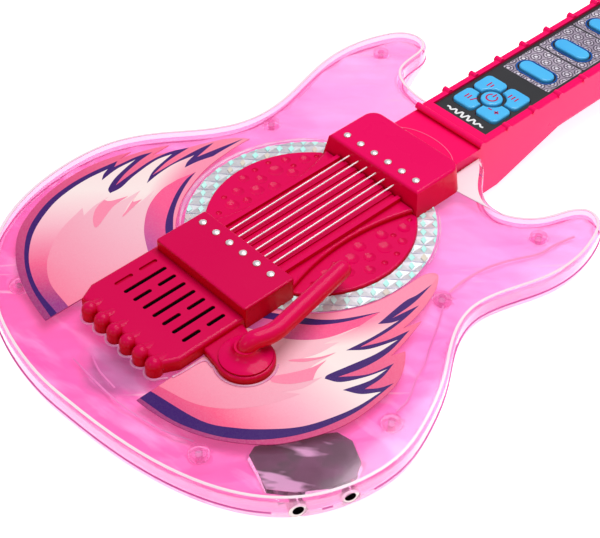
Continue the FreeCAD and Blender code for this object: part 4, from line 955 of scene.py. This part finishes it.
RIGHT_INNER = [[(RIGHT_EDGE, -38.2), (29.8, -33.6), (34.8, -28.4), (38.1, -23.8), (40.7, -18.9),
                (42.8, -13.3), (44.2, -7), (44.7, -1.5), (44.9, 5), (45.8, 11), (48.7, 12.4)],
               [(48.7, 12.4), (50, 8.4)]]
RIGHT_LIGHT = [
    [(RIGHT_EDGE, LIGHT_END), (35.7, -83.7), (44, -78.3), (50.5, -70), (54, -62.5),
     (55.8, -56.7)],
    [(55.8, -56.7), (51.4, -60.4)],
    [(51.4, -60.4), (54.6, -54.5), (55.3, -47)],
    [(55.3, -47), (52, -53), (49.8, -46.5), (50.7, -36.5)],
    [(50.7, -36.5), (48.5, -43.1), (44.3, -48.5)],
    [(44.3, -48.5), (47.2, -41), (48.1, -32.6)],
    [(48.1, -32.6), (45.4, -36.9)],
    [(45.4, -36.9), (46.6, -29.5), (47.5, -23)],
]
RIGHT_DROP = [[(54.2, -50), (50.9, -56), (46.8, -59.6), (45, -59.5), (44.7, -58), (47.4, -53),
               (50.2, -46.5), (51, -41)], [(51, -41), (52, -46), (54.2, -50)]]
RIGHT_TONGUE = [[(50.6, -36.8), (48.5, -42), (45.2, -46.5), (43.2, -49.4), (43.6, -49.8),
                 (47, -46.5), (49.3, -42)], [(49.3, -42), (50.2, -39.5), (50.6, -36.8)]]
RIGHT_CRESCENT = [[(47.5, -23), (44.4, -33.7), (39.8, -40.4), (33.7, -45.3),
                   (RIGHT_EDGE, -50)]]
RIGHT_STROKE = [
    [(47.5, -13.4), (45.2, -17.9), (43, -22), (40.1, -26.6), (36.4, -30.6), (31.5, -34.3),
     (RIGHT_EDGE, -39.9)],
    [(RIGHT_EDGE, -39.9), (RIGHT_EDGE, -43.5)],
    [(RIGHT_EDGE, -43.5), (33.1, -36.9), (38.4, -32), (43.5, -23.9), (47.5, -13.4)],
]
LEVEL = 0.015           # each colour lies this much above the one before
PRINT_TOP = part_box("left_wing_decal")[1].z / MM


def wing_print(side, ink, inner, light, drop, tongue, crescent, stroke, base):
    """The layers of one printed wing, each a thin plate on the sticker."""
    edge = ink[0][0][0]
    inner_side = ink[9:]
    layers = [
        ("inside", inner_side + [[inner_side[-1][-1], inner[0][0]]] + inner, base),
        ("ink", ink, WING_INK),
        ("light", light + crescent + [[crescent[0][-1], (edge, LIGHT_END)]], WING_LIGHT),
        ("crescent", crescent + [[crescent[0][-1], stroke[2][0]]] + stroke[2:]
         + [[stroke[0][0], crescent[0][0]]], WING_CRESCENT),
        ("stroke", stroke, WING_INK),
        ("drop", drop, WING_DROP),
        ("tongue", tongue, WING_DROP),
    ]
    for level, (part, runs, material) in enumerate(layers):
        low = PRINT_TOP + LEVEL * level - 0.005
        plate(side + "_wing_" + part, [outline(runs)], low, PRINT_TOP + LEVEL * (level + 1),
              material)


wing_print("left", LEFT_INK, LEFT_INNER, LEFT_LIGHT, LEFT_DROP, LEFT_TONGUE, LEFT_CRESCENT,
           LEFT_STROKE, LEFT_INSIDE)
wing_print("right", RIGHT_INK, RIGHT_INNER, RIGHT_LIGHT, RIGHT_DROP, RIGHT_TONGUE,
           RIGHT_CRESCENT, RIGHT_STROKE, WING_INSIDE)

# ---------------------------------------------------------------- black plates in the slots
TAIL_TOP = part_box("bridge_cover")[1].z / MM - 4.2
SLOT_PITCH = 4.95
SLOT_NEAR, SLOT_FAR = -72.0, -54.4      # ends of a long slot
SLOT_BREAK = (-64.6, -61.8)             # a broken slot stops and starts again here
SLOT_HALF = 0.72
slot_bars = []
for column, kind in enumerate("LSLLSLS"):
    x = (column - 2.5) * SLOT_PITCH + 0.2
    spans = [(SLOT_NEAR, SLOT_FAR)]
    if kind == "S":
        spans = [(SLOT_NEAR, SLOT_BREAK[0]), (SLOT_BREAK[1], SLOT_FAR)]
    for start, stop in spans:
        slot_bars.append(rounded(x - SLOT_HALF, x + SLOT_HALF, start + 0.03, stop - 0.03,
                                 SLOT_HALF - 0.01))
plate("slot_backing_bars", slot_bars, TAIL_TOP - 2.6, TAIL_TOP - 0.35, SLOT_BLACK)

# ---------------------------------------------------------------- clear lips and shell edges
FACE_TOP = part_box("front_body_shell")[1].z / MM
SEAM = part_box("front_body_shell")[0].z / MM
FINGER_LINE = -84.0
FIRST_FINGER = -14.675
FINGER_PITCH = 6.55
finger_lip = [(FIRST_FINGER - 4.2, FINGER_LINE + 3.5)]
for finger in range(6):
    finger_lip += arc(FIRST_FINGER + finger * FINGER_PITCH, FINGER_LINE, 3.45, 196, 344, 12)
finger_lip += [(21.9, -84.2), (23.0, -82.6)]
plate("finger_lip", [stroke_loop(finger_lip, 0.5)], FACE_TOP, FACE_TOP + 0.5, RIM_CLEAR)

EDGE_INSET = 1.2        # from the side wall to the flat face, over the round edge
JACK_SPOTS = [(83.35, -83.6), (90.05, -68.9)]
JACK_GAP = 5.5          # the seam's line stops this far from the middle of a socket
shell_edge = max(top_loops("front_body_shell"), key=len)
# painted highlight: a cream band where light catches the rounded top edge
plate("body_edge_painted_highlight", [shifted(shell_edge, 0.35), shifted(shell_edge, -0.55)],
      FACE_TOP - 0.25, FACE_TOP + 0.05, EDGE_PAINTED_HIGHLIGHT)
seam_runs = [[]]
for spot in shifted(shell_edge, EDGE_INSET + 0.05):
    if min(math.dist(spot, jack) for jack in JACK_SPOTS) < JACK_GAP:
        if seam_runs[-1]:
            seam_runs.append([])
    else:
        seam_runs[-1].append(spot)
for number, run in enumerate(run for run in seam_runs if len(run) > 1):
    plate("body_seam_line_%d" % (number + 1), [stroke_loop(run, 0.5)], SEAM - 0.2, SEAM + 0.2,
          SEAM_PURPLE)

LIP_LOW = PRINT_TOP + 0.12
ear_lip = smooth([(23.9, -81.5), (24.4, -77.5), (24.6, -72), (25.6, -69.3), (28.8, -69.6)], 4)
ear_lip += arc(34.4, -60.3, 10.35, 239, 400, 40)
plate("ear_lip", [stroke_loop(ear_lip, 0.55)], LIP_LOW, LIP_LOW + 0.4, RIM_CLEAR)

# black sheet under the slots, below the black bars that fill each of them
plate("slot_backing_sheet", [rounded(-19.2, 19.2, -74.8, -53.6, 1.5)], TAIL_TOP - 2.9,
      TAIL_TOP - 2.55, SLOT_BLACK)

# ---------------------------------------------------------------- label: quilted foil cells
LABEL_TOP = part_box("control_label")[1].z / MM
LABEL_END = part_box("control_label")[1].y / MM
CELL_LENGTH = (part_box("note_key_2")[0].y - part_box("note_key_1")[0].y) / MM - 0.8
CELL_HALF = 11.4        # half its width
CELL_START = 6.6        # from its near edge to the middle of its key
KEY_ROOM = 0.9          # between a key and its cell, filled by the blue ring of painted shade
RIM_WIDTH = 0.55
QUILT_PITCH = 5.2
QUILT_ROW = QUILT_PITCH * math.sqrt(3) / 2
QUILT_FIRST = (-1.6, 127.0)
DOT, EYE, PETALS, BAND_MIDDLE, BAND = 0.75, 1.3, 1.85, 2.1, 2.4     # radii of one rosette


def nearest_rosette(x, y):
    """Distance to the nearest rosette's middle, and that middle."""
    best = None
    base = round((y - QUILT_FIRST[1]) / QUILT_ROW)
    for line in (base - 1, base, base + 1):
        shift = QUILT_FIRST[0] + (QUILT_PITCH / 2 if line % 2 else 0)
        column = round((x - shift) / QUILT_PITCH)
        cx, cy = shift + column * QUILT_PITCH, QUILT_FIRST[1] + line * QUILT_ROW
        reach = math.hypot(x - cx, y - cy)
        if best is None or reach < best[0]:
            best = (reach, cx, cy)
    return best


def quilt_height(x, y):
    reach, cx, cy = nearest_rosette(x, y)
    if reach < DOT - 0.05:
        return LABEL_TOP + 0.22
    if reach < BAND_MIDDLE:
        return LABEL_TOP + 0.1 + 0.03 * math.cos(6 * math.atan2(y - cy, x - cx))
    return LABEL_TOP + 0.05


def quilt_pick(x, y):
    """Which material a facet gets: 0 the ground, 1 a dark line, 2 a white painted sparkle."""
    reach, cx, cy = nearest_rosette(x, y)
    turn = math.degrees(math.atan2(y - cy, x - cx)) % 60
    if reach < DOT:
        return 2
    if PETALS < reach < BAND or reach < EYE:
        return 1
    if reach < PETALS and turn < 30:
        return 2
    return 0


for index in range(1, 9):
    key_low, key_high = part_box("note_key_%d" % index)
    x0, x1 = key_low.x / MM - KEY_ROOM, key_high.x / MM + KEY_ROOM
    y0, y1 = key_low.y / MM - KEY_ROOM, key_high.y / MM + KEY_ROOM
    middle = (y0 + y1) / 2
    half = (y1 - y0) / 2
    near = middle - CELL_START
    far = min(near + CELL_LENGTH, LABEL_END - 0.6)
    cell = rounded(-CELL_HALF, CELL_HALF, near, far, 0.5)
    hole = rounded(x0, x1, y0, y1, half - 0.01, 8)
    slot = rounded(x0 + RIM_WIDTH, x1 - RIM_WIDTH, y0 + RIM_WIDTH, y1 - RIM_WIDTH,
                   half - RIM_WIDTH - 0.01, 8)
    # painted shade: a deep blue ring standing for the shade under the key's edge
    plate("note_rim_%d" % index, [hole, slot], LABEL_TOP - 0.05, LABEL_TOP + 0.35, KEY_EDGE_SHADE_BLUE)
    spots = []
    seen = set()
    for step_x in range(-26, 27):
        for step_y in range(0, 50):
            _, cx, cy = nearest_rosette(step_x * 0.5, middle - 8 + step_y * 0.5)
            if (round(cx, 2), round(cy, 2)) not in seen:
                seen.add((round(cx, 2), round(cy, 2)))
                spots.append((cx, cy))
                for radius, count in ((DOT, 8), (EYE, 12), (PETALS, 18), (BAND_MIDDLE, 18),
                                      (BAND, 18)):
                    spots += circle(cx, cy, radius, count)
    relief("quilt_cell_%d" % index, [cell, hole],
           [spot for spot in spots if inside(spot, [cell, hole])], [], quilt_height,
           lambda x, y: LABEL_TOP - 0.05, [QUILT_FOIL, QUILT_LINE, QUILT_PAINTED_SPARKLE],
           quilt_pick)

# ---------------------------------------------------------------- label: generic marks
KEY_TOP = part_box("power_key")[1].z / MM


def middle_of(node_name):
    low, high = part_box(node_name)
    return (low.x + high.x) / 2 / MM, (low.y + high.y) / 2 / MM


def key_mark(name, loops, key):
    plate(name, loops, KEY_TOP - 0.02, KEY_TOP + 0.06, KEY_MARK, key + "_cap")


px, py = middle_of("power_key")
key_mark("power_mark", [stroke_loop(arc(px, py, 2.1, 122, 418, 24), 0.65),
                        stroke_loop([(px, py + 0.6), (px, py + 2.9)], 0.65)], "power_key")
MARKS = {
    "mode_key": [[(-1.8, -1.3), (-1.8, 1.3)], [(-0.4, -1.3), (-0.4, 1.3)],
                 [(1.0, -1.3), (2.2, 1.3)]],
    "volume_key": [[(-2.4, 0), (-0.6, 0)], [(0.6, 0), (2.6, 0)], [(1.6, -1), (1.6, 1)]],
    "song_key_1": [[(-0.6, -1.5), (-0.6, 1.5)], [(0.9, -1.0), (0.9, 1.0)]],
    "song_key_2": [[(-1.6, -1.2), (-1.6, 1.2)], [(0, -1.2), (0, 1.2)], [(1.6, -1.2), (1.6, 1.2)]],
}
for node_name, lines in MARKS.items():
    cx, cy = middle_of(node_name)
    for number, line in enumerate(lines):
        key_mark("%s_mark_%d" % (node_name, number + 1),
                 [stroke_loop([(cx + x, cy + y) for x, y in line], 0.6)], node_name)

# a plain wave that swells and fades along the foot of the label
WAVE_START, WAVE_LINE, WAVE_STEPS = -9.0, 78.6, 37
wave = [(WAVE_START + 0.5 * k,
         WAVE_LINE + 1.5 * math.sin(k * math.pi / 3) * math.sin(math.pi * (k + 1) / 38))
        for k in range(WAVE_STEPS)]
plate("label_wave", [stroke_loop(wave, 0.8)], LABEL_TOP - 0.02, LABEL_TOP + 0.04, WHITE_INK)

# thin raised arc on the plain end of the neck, part of an ellipse, in lighter pink as a painted
# highlight along the ridge
PLAIN_TOP = 30.0
ARC_MIDDLE = (0.65, 52.9)
ARC_HALF = (15.2, 8.4)
arch = [(ARC_MIDDLE[0] + ARC_HALF[0] * math.cos(math.radians(angle)),
         ARC_MIDDLE[1] + ARC_HALF[1] * math.sin(math.radians(angle)))
        for angle in range(4, 177, 4)]
plate("neck_end_arc", [stroke_loop(arch, 0.3)], PLAIN_TOP - 0.02, PLAIN_TOP + 0.12, ARC_PAINTED_HIGHLIGHT)

# ---------------------------------------------------------------- floor and light
GROUND = min(corner[2] for corner in CAD_BOX)
FLOOR_HALF = 6.0
floor_mesh = bpy.data.meshes.new("studio_floor")
floor_mesh.from_pydata([(FLOOR_HALF * x, FLOOR_HALF * y, GROUND)
                        for x, y in ((-1, -1), (1, -1), (1, 1), (-1, 1))], [], [(0, 1, 2, 3)])
floor = bpy.data.objects.new("studio_floor", floor_mesh)
scene.collection.objects.link(floor)
g = Graph("pale_paper_floor")
paper = g.mix(g.span(g.noise(3.0, 4.0), 0.3, 0.7), rgb(252, 252, 252), rgb(255, 255, 255))
floor_mesh.materials.append(g.finish(g.shader(
    Base_Color=paper, Roughness=0.8, Specular_IOR_Level=0.1, Emission_Color=(1, 1, 1, 1),
    Emission_Strength=0.8)))

world = bpy.data.worlds.new("studio_world")
scene.world = world
world.use_nodes = True
sky = world.node_tree.nodes["Background"].inputs
sky["Color"].default_value = (1.0, 0.985, 0.99, 1.0)
sky["Strength"].default_value = 0.3


def softbox(name, place, target, width, height, power):
    """A flat soft lamp that faces its target."""
    data = bpy.data.lights.new(name, "AREA")
    data.shape = "RECTANGLE"
    data.size = width
    data.size_y = height
    data.energy = power
    lamp = bpy.data.objects.new(name, data)
    scene.collection.objects.link(lamp)
    lamp.location = place
    lamp.rotation_euler = (Vector(target) - Vector(place)).to_track_quat("-Z", "Y").to_euler()


softbox("key_light", (0.0, 0.42, 1.25), (0, 0.03, 0), 1.1, 0.9, 13.0)
softbox("side_light", (-0.1, -0.9, 0.6), (0, 0, 0.02), 0.35, 0.3, 0.8)
softbox("spot_light", (0.33, -0.35, 0.55), (0, -0.03, 0.02), 0.04, 0.04, 0.35)

scene.cycles.transparent_max_bounces = 32      # light has many clear walls to cross
scene.view_settings.view_transform = "Standard"
